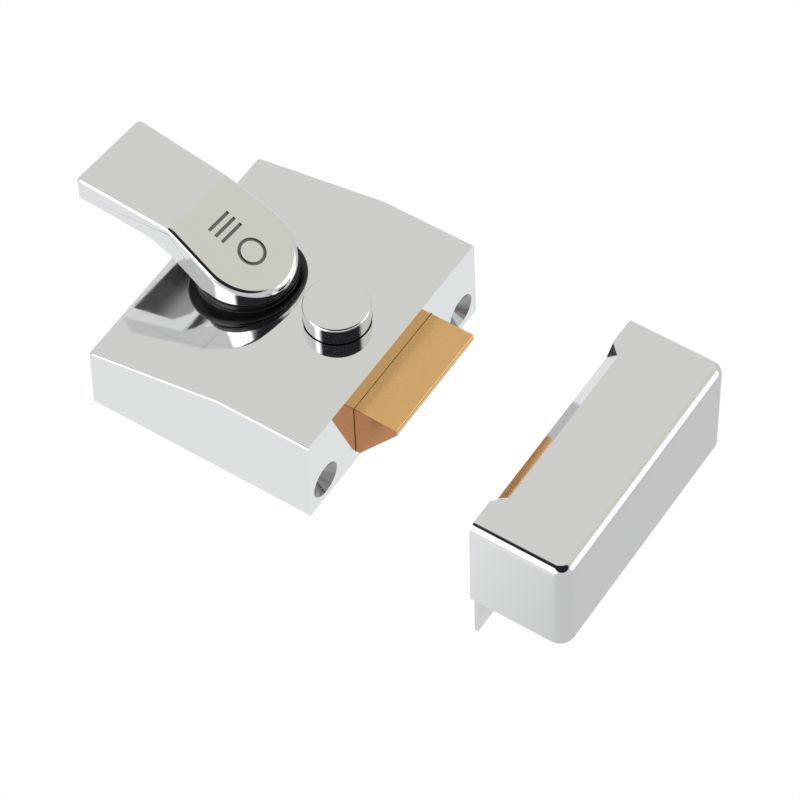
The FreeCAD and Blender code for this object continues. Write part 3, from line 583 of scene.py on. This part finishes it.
# ------------------------------------------------------------------ back plates
class LATCH_OT_back(bpy.types.Operator):
    """Pressed plates behind the case: the cover and the mounting plate on the door"""
    bl_idname = "latch.back"
    bl_label = "Back plates"

    COVER_LOW, COVER_HIGH = 2.3, 3.7
    HUB_HOLE, CYLINDER_HOLE = 8.06, 8.6
    THICK = 2
    LUG_REAR, LUG_FRONT, LUG_HALF, LUG_TAPPING = 40.8, 44.6, 5.5, 2.1
    SLOT_Y, SLOT_R, SLOT_HALF = 15.5, 2.7, 1.3
    DOOR_SCREW_X, DOOR_SCREW_Y = (-19, 37), 30

    def cover(self, size):
        rear, front, half = case_plan(size, size.wall + 0.5)
        plate = block("back_cover", rear, front, -half, half, self.COVER_LOW, self.COVER_HIGH)
        for side in (-1, 1):
            inner, outer = sorted((side * 32.2, side * 60))
            cut(plate, block("notch", 40, 70, inner, outer, 0, 10))
            for x in PLATE_SCREW_X:
                spot = (x, side * PLATE_SCREW_Y, self.COVER_LOW)
                cut(plate, *countersunk(CLEAR_R, 3.0, 4, spot, Z))
        return cut(plate, rod("hub_hole", self.HUB_HOLE, 4, (0, 0, self.COVER_LOW - 1)))

    def mounting(self, size):
        rear, front, half = case_plan(size, size.wall + 0.8)
        plate = block("mounting_plate_body", rear, front, -half, half, 0, self.THICK)
        round_edges(plate, 3.0, 6, lambda a, b: abs(a.z - b.z) > 1.9)
        for side in (-1, 1):
            y = side * EDGE_SCREW_Y
            high = size.screw_z + 5.5
            lug = block("lug", self.LUG_REAR, self.LUG_FRONT, y - self.LUG_HALF,
                        y + self.LUG_HALF, 0, high)
            round_edges(lug, 5.0, 8, lambda a, b: min(a.z, b.z) > high - 0.1 and abs(a.x - b.x) > 3)
            join(plate, lug)
            cut(plate, rod("tapping", self.LUG_TAPPING, 20, (self.LUG_REAR - 5, y, size.screw_z), X,
                           sides=48))
            middle = side * self.SLOT_Y
            slot = block("slot", -self.SLOT_R, self.SLOT_R, middle - self.SLOT_HALF,
                         middle + self.SLOT_HALF, -1, 3)
            for end in (-1, 1):
                join(slot, rod("slot_end", self.SLOT_R, 4, (0, middle + end * self.SLOT_HALF, -1),
                               sides=48))
            cut(plate, slot)
            for x in self.DOOR_SCREW_X:
                spot = (x, side * self.DOOR_SCREW_Y, self.THICK)
                cut(plate, *countersunk(WOOD_R, WOOD_SINK_R, 4, spot, -Z))
        return cut(plate, rod("cylinder_hole", self.CYLINDER_HOLE, 4, (0, 0, -1)))

    def execute(self, context):
        size = context.scene.latch_case
        finish_piece(self.cover(size), "case", ["back_plate"], "zinc_steel")
        finish_piece(self.mounting(size), "case", ["mounting_plate"], "zinc_steel")
        return {"FINISHED"}


# ------------------------------------------------------------------ collar
class LATCH_OT_collar(bpy.types.Operator):
    """Black bush round the lever's journal, with its flange on the slope, and the washer"""
    bl_idname = "latch.collar"
    bl_label = "Collar"

    FLANGE, FLANGE_THICK = 21.3, 1.2
    TUBE, NECK, BORE = 18.4, 17.7, 10.0
    HIGH, LOW = 38.9, 25.6

    def execute(self, context):
        size = context.scene.latch_case
        slope = case_slope(size)
        normal = Vector((-math.sin(slope), 0, math.cos(slope)))
        seat = Vector((0, 0, size.top - size.crease * math.tan(slope) + 0.02))
        flange = rod("collar_flange", self.FLANGE, self.FLANGE_THICK, seat, normal, sides=128)
        upper = seat + normal * (self.FLANGE_THICK - 0.1)
        round_edges(flange, 0.8, 4,
                    lambda a, b: (a - upper).dot(normal) > 0 and (b - upper).dot(normal) > 0)
        tube = rod("collar_tube", self.TUBE, self.HIGH - seat.z + 4, (0, 0, seat.z - 4), sides=128)
        round_edges(tube, 0.6, 4, lambda a, b: min(a.z, b.z) > self.HIGH - 0.1)
        trim(tube, seat + normal * 0.5, -normal)
        neck = rod("collar_neck", self.NECK, self.HIGH - self.LOW - 1, (0, 0, self.LOW), sides=128)
        collar = join(flange, tube, neck)
        cut(collar, rod("collar_bore", self.BORE, 60, (0, 0, 0), sides=96))
        collar.name = "collar_bush"
        finish_piece(collar, "case", ["lever_collar"], "black_nylon", 40)

        skirt = context.scene.latch_lever.skirt
        foot = self.HIGH + 0.3
        washer = rod("washer_ring", self.TUBE, skirt - self.HIGH - 0.3, (0, 0, foot), sides=128)
        round_edges(washer, 0.45, 4, lambda a, b: abs(a.z - b.z) < 0.01 and a.length > 20)
        cut(washer, rod("washer_bore", self.BORE, 10, (0, 0, self.HIGH - 3), sides=96))
        finish_piece(washer, "lever", ["lever_washer"], "black_nylon", 40)
        return {"FINISHED"}


# ------------------------------------------------------------------ lever
class LATCH_OT_lever(bpy.types.Operator):
    """Cast lever: a round nose, a sloped neck and a flat paddle cored out below"""
    bl_idname = "latch.lever"
    bl_label = "Lever"

    ARC_STEPS = 72
    HOLLOW_REAR, HOLLOW_FRONT, HOLLOW_HIGH = -27.5, -6.0, 50.9
    CORE_WALL, CORE_ROOF, CORE_FRONT = 3.4, 3.0, -32.0
    JOURNAL, JOURNAL_FOOT = 9.95, 21.7
    SHANK_HALF, SHANK_FOOT = 4.5, 12
    GROOVE_R, GROOVE_Z, GROOVE_WIDE = 8.75, 23.25, 1.1
    MARK, MARK_X = 5.2, 3.0

    def outline(self, size):
        """The lever's plan: the nose's arc, both flanks and the paddle's square end."""
        reach = math.hypot(size.bend, size.bend_half)
        lean = math.asin(size.nose / reach) - math.atan2(size.bend_half, size.bend)
        start = Vector((-size.nose * math.sin(lean), size.nose * math.cos(lean), size.skirt)) * MM
        bpy.ops.mesh.primitive_plane_add(size=MM, location=start)
        obj = bpy.context.active_object
        obj.name = "lever_casting"
        apply_place(obj)
        pick(obj, "VERT", lambda v: True)
        bpy.ops.mesh.merge(type="CENTER")
        bpy.ops.mesh.spin(steps=self.ARC_STEPS, angle=math.pi + 2 * lean, center=(0, 0, start.z),
                          axis=(0, 0, 1))
        done_picking()
        for side in (1, -1):
            here = Vector((start.x, side * start.y, start.z)) / MM
            for x, y in ((-size.bend, size.bend_half), (-size.end, size.end_half)):
                there = Vector((x, side * y, size.skirt))
                pick(obj, "VERT", lambda v: (v - here).length < 0.05)
                step = (there - here) * MM
                bpy.ops.mesh.extrude_region_move(TRANSFORM_OT_translate={"value": step})
                done_picking()
                here = there
        pick(obj, "VERT", lambda v: True)
        bpy.ops.mesh.edge_face_add()
        bpy.ops.mesh.select_all(action="SELECT")
        bpy.ops.mesh.extrude_region_move(TRANSFORM_OT_translate={"value": (0, 0, 0.03)})
        bpy.ops.mesh.select_all(action="SELECT")
        bpy.ops.mesh.normals_make_consistent(inside=False)
        done_picking()
        return obj

    def underside(self, size):
        """The space under the neck and paddle, cut away from the casting."""
        tool = block("underside", -size.end - 5, self.HOLLOW_FRONT, -25, 25, 30,
                     size.top - size.thick)
        run_x, rise = self.HOLLOW_FRONT - self.HOLLOW_REAR, self.HOLLOW_HIGH - size.skirt
        trim(tool, (self.HOLLOW_FRONT, 0, size.skirt), Vector((rise, 0, run_x)))
        return tool

    def core(self, size):
        """The hollow cast into the paddle from below."""
        half = size.bend_half - self.CORE_WALL
        tool = block("core", -size.end + self.CORE_WALL, self.CORE_FRONT, -half, half, 40,
                     size.top - self.CORE_ROOF)
        round_edges(tool, 5.0, 1,
                    lambda a, b: abs(a.z - b.z) > 5 and min(a.x, b.x) > self.CORE_FRONT - 1)
        return tool

    def turn_mark(self, size):
        """A plain turning mark: a ring with three bars, sunk in the neck."""
        fall = math.atan2(size.top - size.nose_top, size.nose + size.bend)
        ring = cut(rod("mark", self.MARK, 1.5, (0, 0, -0.5), sides=64),
                   rod("mark", 4.0, 3, (0, 0, -1), sides=64))
        marks = [ring] + [block("mark", x - 0.6, x + 0.6, -self.MARK, self.MARK, -0.5, 1)
                          for x in (-9.5, -12.5, -15.5)]
        centre = Vector((self.MARK_X, 0,
                         size.nose_top + (size.nose - self.MARK_X) * math.tan(fall)))
        for mark in marks:
            mark.matrix_world = Matrix.Translation(centre * MM) @ Matrix.Rotation(fall, 4, "Y")
            apply_place(mark)
        return marks

    def execute(self, context):
        size = context.scene.latch_lever
        lever = self.outline(size)
        round_edges(lever, 2.1, 6,
                    lambda a, b: abs(a.z - b.z) > 5 and max(a.x, b.x) < -size.end + 1)
        trim(lever, (0, 0, size.top), Z)
        run_x, fall = size.nose + size.bend, size.top - size.nose_top
        trim(lever, (-size.bend, 0, size.top), Vector((fall, 0, run_x)))
        round_edges(lever, 1.6, 4, lambda a, b: min(a.z, b.z) > size.top - 0.1
                    and abs(a.x - b.x) < 0.1 and abs(a.x + size.bend) < 0.1)
        cut(lever, self.underside(size))

        def rim(a, b):
            fall_z = size.top - max(0.0, (a.x + b.x) / 2 + size.bend) * fall / run_x
            on_top = (a.z + b.z) / 2 > fall_z - 0.6
            across = abs(a.y - b.y) > size.bend_half and max(a.x, b.x) > -size.end + 3
            return on_top and not across

        round_edges(lever, size.edge, 6, rim)
        round_edges(lever, 1.0, 4, lambda a, b: max(a.z, b.z) < size.top - size.thick + 0.2
                    and min(abs(a.y), abs(b.y)) > size.bend_half - 0.3 and max(a.x, b.x) < -20.5
                    and abs(a.x - b.x) > 3)
        cut(lever, self.core(size))
        journal = rod("journal", self.JOURNAL, size.skirt + 1 - self.JOURNAL_FOOT,
                      (0, 0, self.JOURNAL_FOOT))
        join(lever, journal, block("shank", -self.SHANK_HALF, self.SHANK_HALF, -self.SHANK_HALF,
                                   self.SHANK_HALF, self.SHANK_FOOT, 23.3))
        groove = cut(rod("groove", 11.0, self.GROOVE_WIDE, (0, 0, self.GROOVE_Z)),
                     rod("groove", self.GROOVE_R, 3, (0, 0, 22)))
        cut(lever, groove, *self.turn_mark(size))
        turn_about_z(lever, math.degrees(size.rest))
        finish_piece(lever, "lever", ["lever_handle"], "chrome", 30)
        square = Matrix.Rotation(-size.rest, 3, "Z")
        slope = Vector((fall, 0, run_x)).normalized()
        crest = Vector((-size.bend, 0, size.top))

        def in_core(centre, normal):
            spot = square @ centre
            return -size.end + 3 < spot.x < -31.5 and abs(spot.y) < size.bend_half - 3 \
                and size.top - size.thick + 0.3 < spot.z < size.top - 2.5

        def in_mark(centre, normal):
            spot = square @ centre
            return -0.6 < (spot - crest).dot(slope) < -0.05 and abs(spot.y) < self.MARK + 0.2 \
                and -16 < spot.x < 9

        # The core gets a darker colour as painted shade in the hollow, with a rougher surface.
        second_finish(lever, "lever_core_painted_shade", in_core)
        # The sunk mark gets a darker colour as painted shade in the recess.
        second_finish(lever, "mark_painted_shade", in_mark)
        return {"FINISHED"}


# ------------------------------------------------------------------ bolt
class LATCH_OT_bolt(bpy.types.Operator):
    """Brass latch bolt: flat above, bevelled below, drilled for its springs and rivets"""
    bl_idname = "latch.bolt"
    bl_label = "Bolt"

    REAR = 40.3
    TAIL_FRONT = 54.3
    BEVEL_START = 1.8
    HOLD_HOLE, HOLD_X = 2.9, 55
    POCKET, POCKET_LONG = 4.3, 24.7
    RIVET_HOLE, RIVET_X, RIVET_Y = 1.95, 47.3, 14

    def execute(self, context):
        size = context.scene.latch_bolt
        edge = context.scene.latch_case.backset
        tip = edge + size.throw
        bolt = block("bolt_head", self.REAR, tip, -size.half, size.half, size.low, size.high)
        start = Vector((edge + self.BEVEL_START, 0, size.low))
        rise = size.high - size.land - size.low
        run_x = tip - start.x
        trim(bolt, start, Vector((rise, 0, -run_x)))
        round_edges(bolt, 0.7, 5, lambda a, b: min(a.x, b.x) > tip - 0.1)
        round_edges(bolt, 0.35, 3, lambda a, b: abs(a.x - b.x) > 5 and max(a.x, b.x) > tip - 4)
        cut(bolt, block("tail_seat", self.REAR - 1, self.TAIL_FRONT + 0.1, -30, 30, 0, 7.6),
            rod("hold_hole", self.HOLD_HOLE, 8, (self.HOLD_X, 0, size.high - 6), sides=48))
        for side in (-1, 1):
            cut(bolt, rod("spring_pocket", self.POCKET, self.POCKET_LONG + 1,
                          (self.REAR - 1, side * SPRING_Y, SPRING_Z), X, sides=48),
                rod("rivet_hole", self.RIVET_HOLE, 9, (self.RIVET_X, side * self.RIVET_Y, 5),
                    sides=32))
        finish_piece(bolt, "bolt", ["latch_bolt"], "bolt_brass", 30)
        # The side faces and underside get the darker brass, which is painted shade.
        second_finish(bolt, "brass_side_painted_shade",
                      lambda centre, normal: abs(normal.y) > 0.7 or normal.z < -0.2)
        return {"FINISHED"}


# ------------------------------------------------------------------ button
class LATCH_OT_button(bpy.types.Operator):
    """Round snib button with a softened rim, hollow below"""
    bl_idname = "latch.button"
    bl_label = "Button"

    FOOT = 34.1
    WALL = 1.6
    FLANGE_WIDE, FLANGE_THICK = 1.8, 0.8

    def execute(self, context):
        size = context.scene.latch_button
        cap = rod("snib_cap", size.radius, size.top - self.FOOT, (size.place, 0, self.FOOT),
                  sides=160)
        round_edges(cap, 0.8, 6, lambda a, b: min(a.z, b.z) > size.top - 0.1)
        join(cap, rod("cap_flange", size.radius + self.FLANGE_WIDE, self.FLANGE_THICK,
                      (size.place, 0, self.FOOT)))
        cut(cap, rod("cap_core", size.radius - self.WALL, size.top - self.WALL - self.FOOT + 1,
                     (size.place, 0, self.FOOT - 1)))
        finish_piece(cap, "button", ["button_cap"], "chrome", 30)
        return {"FINISHED"}


# ------------------------------------------------------------------ springs
class LATCH_OT_springs(bpy.types.Operator):
    """Coil springs behind the bolt and under the button, as short as they get in use"""
    bl_idname = "latch.springs"
    bl_label = "Springs"

    def coil(self, name, radius, wire, height, turns, base, axis=Z):
        """A round wire of that radius wound evenly from base along axis, its ends closed."""
        bpy.ops.object.select_all(action="DESELECT")
        bpy.ops.mesh.primitive_circle_add(vertices=12, radius=wire * MM,
                                          location=(radius * MM, 0, 0),
                                          rotation=(math.pi / 2, 0, 0))
        obj = bpy.context.active_object
        obj.name = name
        apply_place(obj)
        bpy.ops.object.modifier_add(type="SCREW")
        modifier = obj.modifiers[-1]
        modifier.steps = modifier.render_steps = 24
        modifier.iterations = turns
        modifier.screw_offset = height / turns * MM
        bpy.ops.object.modifier_apply(modifier=modifier.name)
        bpy.ops.object.mode_set(mode="EDIT")
        bpy.ops.mesh.select_mode(type="EDGE")
        bpy.ops.mesh.select_all(action="DESELECT")
        bpy.ops.mesh.select_non_manifold()
        bpy.ops.mesh.fill_holes(sides=0)
        bpy.ops.object.mode_set(mode="OBJECT")
        obj.rotation_euler = Z.rotation_difference(axis).to_euler()
        obj.location = Vector(base) * MM
        apply_place(obj)
        return obj

    def execute(self, context):
        place = context.scene.latch_button.place
        button = self.coil("button_coil", 5.2, 0.5, 9.6, 4, (place, 0, 31.0))
        finish_piece(button, "case", ["button_spring"], "spring_steel", 60)
        coils = [self.coil("bolt_coils", 3.2, 0.45, 26.6, 15, (20.2, y, SPRING_Z), X)
                 for y in (SPRING_Y, -SPRING_Y)]
        select_only(*coils)
        bpy.ops.object.join()
        finish_piece(coils[0], "case", ["bolt_springs"], "spring_steel", 60)
        return {"FINISHED"}


# ------------------------------------------------------------------ keep
class LATCH_OT_keep(bpy.types.Operator):
    """Cast keep with a mouth ramp in its roof, on a pressed steel angle"""
    bl_idname = "latch.keep"
    bl_label = "Keep"

    MOUTH, MOUTH_END = 34.5, 39.2
    RAMP_X, RAMP_Z = 4.8, 4.3
    STEEL, FLANGE = 2.5, 1.5
    FLANGE_HALF = 50.5
    POST = 5.2
    BASE_SCREW_X, BASE_SCREW_Y = 20, 25
    FLANGE_SCREW_Y, FLANGE_SCREW_Z = 30, -11

    def screw_places(self, size):
        """Where along X the two rows of screws between angle and casting stand."""
        near, far = KEEP_SCREW_INSET
        return size.start + near, size.start + size.width - far

    def mouth(self, size):
        """The ramp and its flared ends, cut from the roof's leading edge."""
        corner = Vector((size.start + self.RAMP_X, 0, size.top))
        foot = Vector((size.start, 0, size.top - self.RAMP_Z))
        tool = block("mouth", size.start - 1, size.start + 9, -self.MOUTH_END - 1,
                     self.MOUTH_END + 1, size.top - 6, size.top + 1)
        trim(tool, corner, Vector((self.RAMP_Z, 0, -self.RAMP_X)))
        for side in (-1, 1):
            inner = Vector((corner.x, side * self.MOUTH, size.top))
            outer = Vector((size.start, side * self.MOUTH_END, size.top))
            low = Vector((foot.x, side * self.MOUTH, foot.z))
            normal = (low - inner).cross(outer - inner)
            if normal.z > 0:
                normal.negate()
            trim(tool, inner, normal)
        return tool

    def box(self, size):
        end = size.start + size.width
        keep = block("keep_casting", size.start, end, -size.half, size.half, 0, size.top)
        round_edges(keep, size.corner, 12,
                    lambda a, b: abs(a.z - b.z) > 20 and min(a.x, b.x) > end - 1)
        round_edges(keep, size.edge, 10, lambda a, b: min(a.z, b.z) > size.top - 0.1
                    and max(a.x, b.x) > size.start + 1)
        inside = block("inside", size.start - 1, end - size.wall, -size.half + size.wall,
                       size.half - size.wall, -1, size.top - size.roof)
        round_edges(inside, size.corner - size.wall, 6,
                    lambda a, b: abs(a.z - b.z) > 20 and min(a.x, b.x) > end - size.wall - 1)
        cut(keep, inside, self.mouth(size))
        round_edges(keep, 0.5, 4, lambda a, b: min(a.z, b.z) > size.top - self.RAMP_Z - 0.1
                    and min(a.x, b.x) > size.start - 0.1
                    and size.start + 0.1 <= max(a.x, b.x) < size.start + self.RAMP_X + 0.1
                    and max(abs(a.y), abs(b.y)) < self.MOUTH_END + 0.1)
        height = size.top - size.roof - self.STEEL + 0.5
        for x in self.screw_places(size):
            for y in (-KEEP_SCREW_Y, KEEP_SCREW_Y):
                join(keep, rod("post", self.POST, height, (x, y, self.STEEL), sides=48))
                cut(keep, rod("post_hole", TAP_R, 9, (x, y, self.STEEL - 0.5), sides=32))
        return keep

    def angle(self, size):
        end = size.start + size.width - size.wall - 0.4
        face = size.start + 0.8
        half = size.half - size.wall - 0.3
        base = block("keep_angle", face, end, -half, half, 0, self.STEEL)
        round_edges(base, 3.0, 6, lambda a, b: abs(a.z - b.z) > 2 and min(a.x, b.x) > end - 1)
        join(base, block("root", face, face + self.FLANGE, -half, half, -0.5, self.STEEL))
        join(base, block("flange", face, face + self.FLANGE, -self.FLANGE_HALF, self.FLANGE_HALF,
                         -size.drop, -0.1))
        round_edges(base, 1.2, 5, lambda a, b: min(a.z, b.z) > self.STEEL - 0.01
                    and max(a.x, b.x) < face + 0.01)
        for side in (-1, 1):
            for x in self.screw_places(size):
                cut(base, *countersunk(CLEAR_R, 3.2, 4, (x, side * KEEP_SCREW_Y, 0), Z))
            spot = (size.start + self.BASE_SCREW_X, side * self.BASE_SCREW_Y, self.STEEL)
            cut(base, *countersunk(WOOD_R, WOOD_SINK_R, 4, spot, -Z))
            spot = (face - 2, side * self.FLANGE_SCREW_Y, self.FLANGE_SCREW_Z)
            cut(base, rod("frame_hole", WOOD_R, 6, spot, X, sides=48))
        return base

    def execute(self, context):
        size = context.scene.latch_keep
        finish_piece(self.box(size), "keep", ["keep_box"], "chrome", 30)
        finish_piece(self.angle(size), "keep", ["keep_plate"], "bright_steel", 30)
        return {"FINISHED"}


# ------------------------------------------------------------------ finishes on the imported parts
class LATCH_OT_finishes(bpy.types.Operator):
    """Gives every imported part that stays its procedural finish"""
    bl_idname = "latch.finishes"
    bl_label = "Finishes"

    SLOTS = {
        "zinc_steel": ("collar_retainer", "bolt_tail", "button_guide"),
        "screw_steel": ("back_plate_screws", "keep_plate_screws", "button_guide_screws",
                        "button_pin", "spring_guides", "bolt_rivets", "follower_peg"),
        "spring_steel": ("lever_spring", "lever_clip"),
        "cast_zinc": ("follower",),
    }

    def execute(self, context):
        for slot, names in self.SLOTS.items():
            for name in names:
                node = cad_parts[name]
                for held in node.material_slots:
                    held.material = finish_for(slot)
        return {"FINISHED"}


# ------------------------------------------------------------------ stage
# Light panels and the dark screen: direction, inner and outer half-angle in degrees, tone.
PANELS = [
    ((-0.34, 0.49, 0.80), 20, 70, (0.71, 0.71, 0.68)),
    ((0.25, 0.49, 0.83), 6, 30, (0.69, 0.68, 0.62)),
    ((-0.35, -0.79, 0.50), 24, 30, (1.6, 1.6, 1.6)),
    ((0.77, 0.52, 0.33), 18, 24, (1.5, 1.5, 1.5)),
    ((0.25, -0.25, 0.93), 33, 39, (0.02, 0.02, 0.025)),
]


class LATCH_OT_stage(bpy.types.Operator):
    """White floor, soft studio surroundings and the camera"""
    bl_idname = "latch.stage"
    bl_label = "Stage"

    FLOOR_Z = -24.0

    def floor(self):
        bpy.ops.mesh.primitive_plane_add(size=8.0, location=(0.06, 0, self.FLOOR_Z * MM))
        floor = bpy.context.active_object
        floor.name = "studio_floor"
        apply_place(floor)
        bpy.ops.object.mode_set(mode="EDIT")
        bpy.ops.mesh.subdivide(number_cuts=3)
        bpy.ops.object.mode_set(mode="OBJECT")
        material = bpy.data.materials.new("studio_white")
        material.use_nodes = True
        nodes, links = material.node_tree.nodes, material.node_tree.links
        nodes.clear()
        seen = nodes.new("ShaderNodeEmission")
        seen.inputs["Color"].default_value = (1, 1, 1, 1)
        seen.inputs["Strength"].default_value = 1.0
        lit = nodes.new("ShaderNodeEmission")
        lit.inputs["Color"].default_value = (0.97, 0.99, 1.0, 1)
        place = nodes.new("ShaderNodeTexCoord")
        along = nodes.new("ShaderNodeSeparateXYZ")
        fade = nodes.new("ShaderNodeMapRange")
        for socket, number in (("From Min", 0.10), ("From Max", 0.165),
                               ("To Min", 0.86), ("To Max", 0.62)):
            fade.inputs[socket].default_value = number
        links.new(place.outputs["Object"], along.inputs["Vector"])
        links.new(along.outputs["X"], fade.inputs["Value"])
        links.new(fade.outputs["Result"], lit.inputs["Strength"])
        path = nodes.new("ShaderNodeLightPath")
        mix = nodes.new("ShaderNodeMixShader")
        out = nodes.new("ShaderNodeOutputMaterial")
        links.new(path.outputs["Is Camera Ray"], mix.inputs["Fac"])
        links.new(lit.outputs["Emission"], mix.inputs[1])
        links.new(seen.outputs["Emission"], mix.inputs[2])
        links.new(mix.outputs["Shader"], out.inputs["Surface"])
        floor.data.materials.append(material)

    def surroundings(self, scene):
        """Studio walls as a soft gradient with light panels and one dark screen."""
        world = bpy.data.worlds.new("studio")
        scene.world = world
        world.use_nodes = True
        nodes, links = world.node_tree.nodes, world.node_tree.links
        nodes.clear()
        place = nodes.new("ShaderNodeTexCoord")
        out = nodes.new("ShaderNodeOutputWorld")
        colour = None

        def patch(under, direction, inner, outer, tone):
            """Blends tone over the surroundings within outer degrees of direction."""
            dot = nodes.new("ShaderNodeVectorMath")
            dot.operation = "DOT_PRODUCT"
            dot.inputs[1].default_value = Vector(direction).normalized()
            links.new(place.outputs["Generated"], dot.inputs[0])
            ranged = nodes.new("ShaderNodeMapRange")
            ranged.interpolation_type = "SMOOTHSTEP"
            ranged.inputs["From Min"].default_value = math.cos(math.radians(outer))
            ranged.inputs["From Max"].default_value = math.cos(math.radians(inner))
            links.new(dot.outputs["Value"], ranged.inputs["Value"])
            mix = nodes.new("ShaderNodeMix")
            mix.data_type = "RGBA"
            links.new(ranged.outputs["Result"], mix.inputs[0])
            if under is None:
                mix.inputs[6].default_value = (0.62, 0.63, 0.64, 1)
            else:
                links.new(under, mix.inputs[6])
            mix.inputs[7].default_value = (*tone, 1)
            return mix.outputs[2]

        for direction, inner, outer, tone in PANELS:
            colour = patch(colour, direction, inner, outer, tone)
        back = nodes.new("ShaderNodeBackground")
        links.new(colour, back.inputs["Color"])
        white = nodes.new("ShaderNodeBackground")
        white.inputs["Color"].default_value = (1, 1, 1, 1)
        path = nodes.new("ShaderNodeLightPath")
        mix = nodes.new("ShaderNodeMixShader")
        links.new(path.outputs["Is Camera Ray"], mix.inputs["Fac"])
        links.new(back.outputs["Background"], mix.inputs[1])
        links.new(white.outputs["Background"], mix.inputs[2])
        links.new(mix.outputs["Shader"], out.inputs["Surface"])

    def camera(self, scene):
        studio = scene.latch_studio
        a, e, roll = studio.azimuth, studio.elevation, studio.roll
        back = Vector((math.sin(a) * math.cos(e), -math.cos(a) * math.cos(e), math.sin(e)))
        right = Vector((math.cos(a), math.sin(a), 0))
        up = back.cross(right)
        side = right * math.cos(roll) + up * math.sin(roll)
        head = up * math.cos(roll) - right * math.sin(roll)
        spot = (Vector(studio.target) + back * studio.distance) * MM
        data = bpy.data.cameras.new("studio_camera")
        data.lens = studio.lens
        data.sensor_width = 36
        data.clip_start = 0.05
        data.clip_end = 50
        camera = bpy.data.objects.new("studio_camera", data)
        scene.collection.objects.link(camera)
        turn = Matrix((side, head, back)).transposed()
        camera.matrix_world = Matrix.Translation(spot) @ turn.to_4x4()
        scene.camera = camera

    def execute(self, context):
        scene = context.scene
        scene.view_settings.view_transform = "Standard"
        self.floor()
        self.surroundings(scene)
        self.camera(scene)
        return {"FINISHED"}


class LATCH_PT_panel(bpy.types.Panel):
    """Lists the latch's pieces"""
    bl_idname = "LATCH_PT_panel"
    bl_label = "Rim night latch"
    bl_space_type = "VIEW_3D"
    bl_region_type = "UI"
    bl_category = "Latch"

    def draw(self, context):
        for operator in STEPS:
            self.layout.operator(operator.bl_idname)


STEPS = (LATCH_OT_case, LATCH_OT_back, LATCH_OT_collar, LATCH_OT_lever, LATCH_OT_bolt,
         LATCH_OT_button, LATCH_OT_springs, LATCH_OT_keep, LATCH_OT_finishes, LATCH_OT_stage)
SETTINGS = {
    "latch_case": LatchCaseSettings,
    "latch_lever": LatchLeverSettings,
    "latch_bolt": LatchBoltSettings,
    "latch_button": LatchButtonSettings,
    "latch_keep": LatchKeepSettings,
    "latch_finishes": LatchFinishSettings,
    "latch_studio": LatchStudioSettings,
}
CLASSES = tuple(SETTINGS.values()) + STEPS + (LATCH_PT_panel,)


def register():
    for cls in CLASSES:
        bpy.utils.register_class(cls)
    for name, group in SETTINGS.items():
        setattr(bpy.types.Scene, name, PointerProperty(type=group))


def unregister():
    for name in SETTINGS:
        delattr(bpy.types.Scene, name)
    for cls in reversed(CLASSES):
        bpy.utils.unregister_class(cls)


def main():
    register()
    for operator in (bpy.ops.latch.case, bpy.ops.latch.back, bpy.ops.latch.collar,
                     bpy.ops.latch.lever, bpy.ops.latch.bolt, bpy.ops.latch.button,
                     bpy.ops.latch.springs, bpy.ops.latch.keep, bpy.ops.latch.finishes,
                     bpy.ops.latch.stage):
        run(operator)


if __name__ == "__main__":
    main()
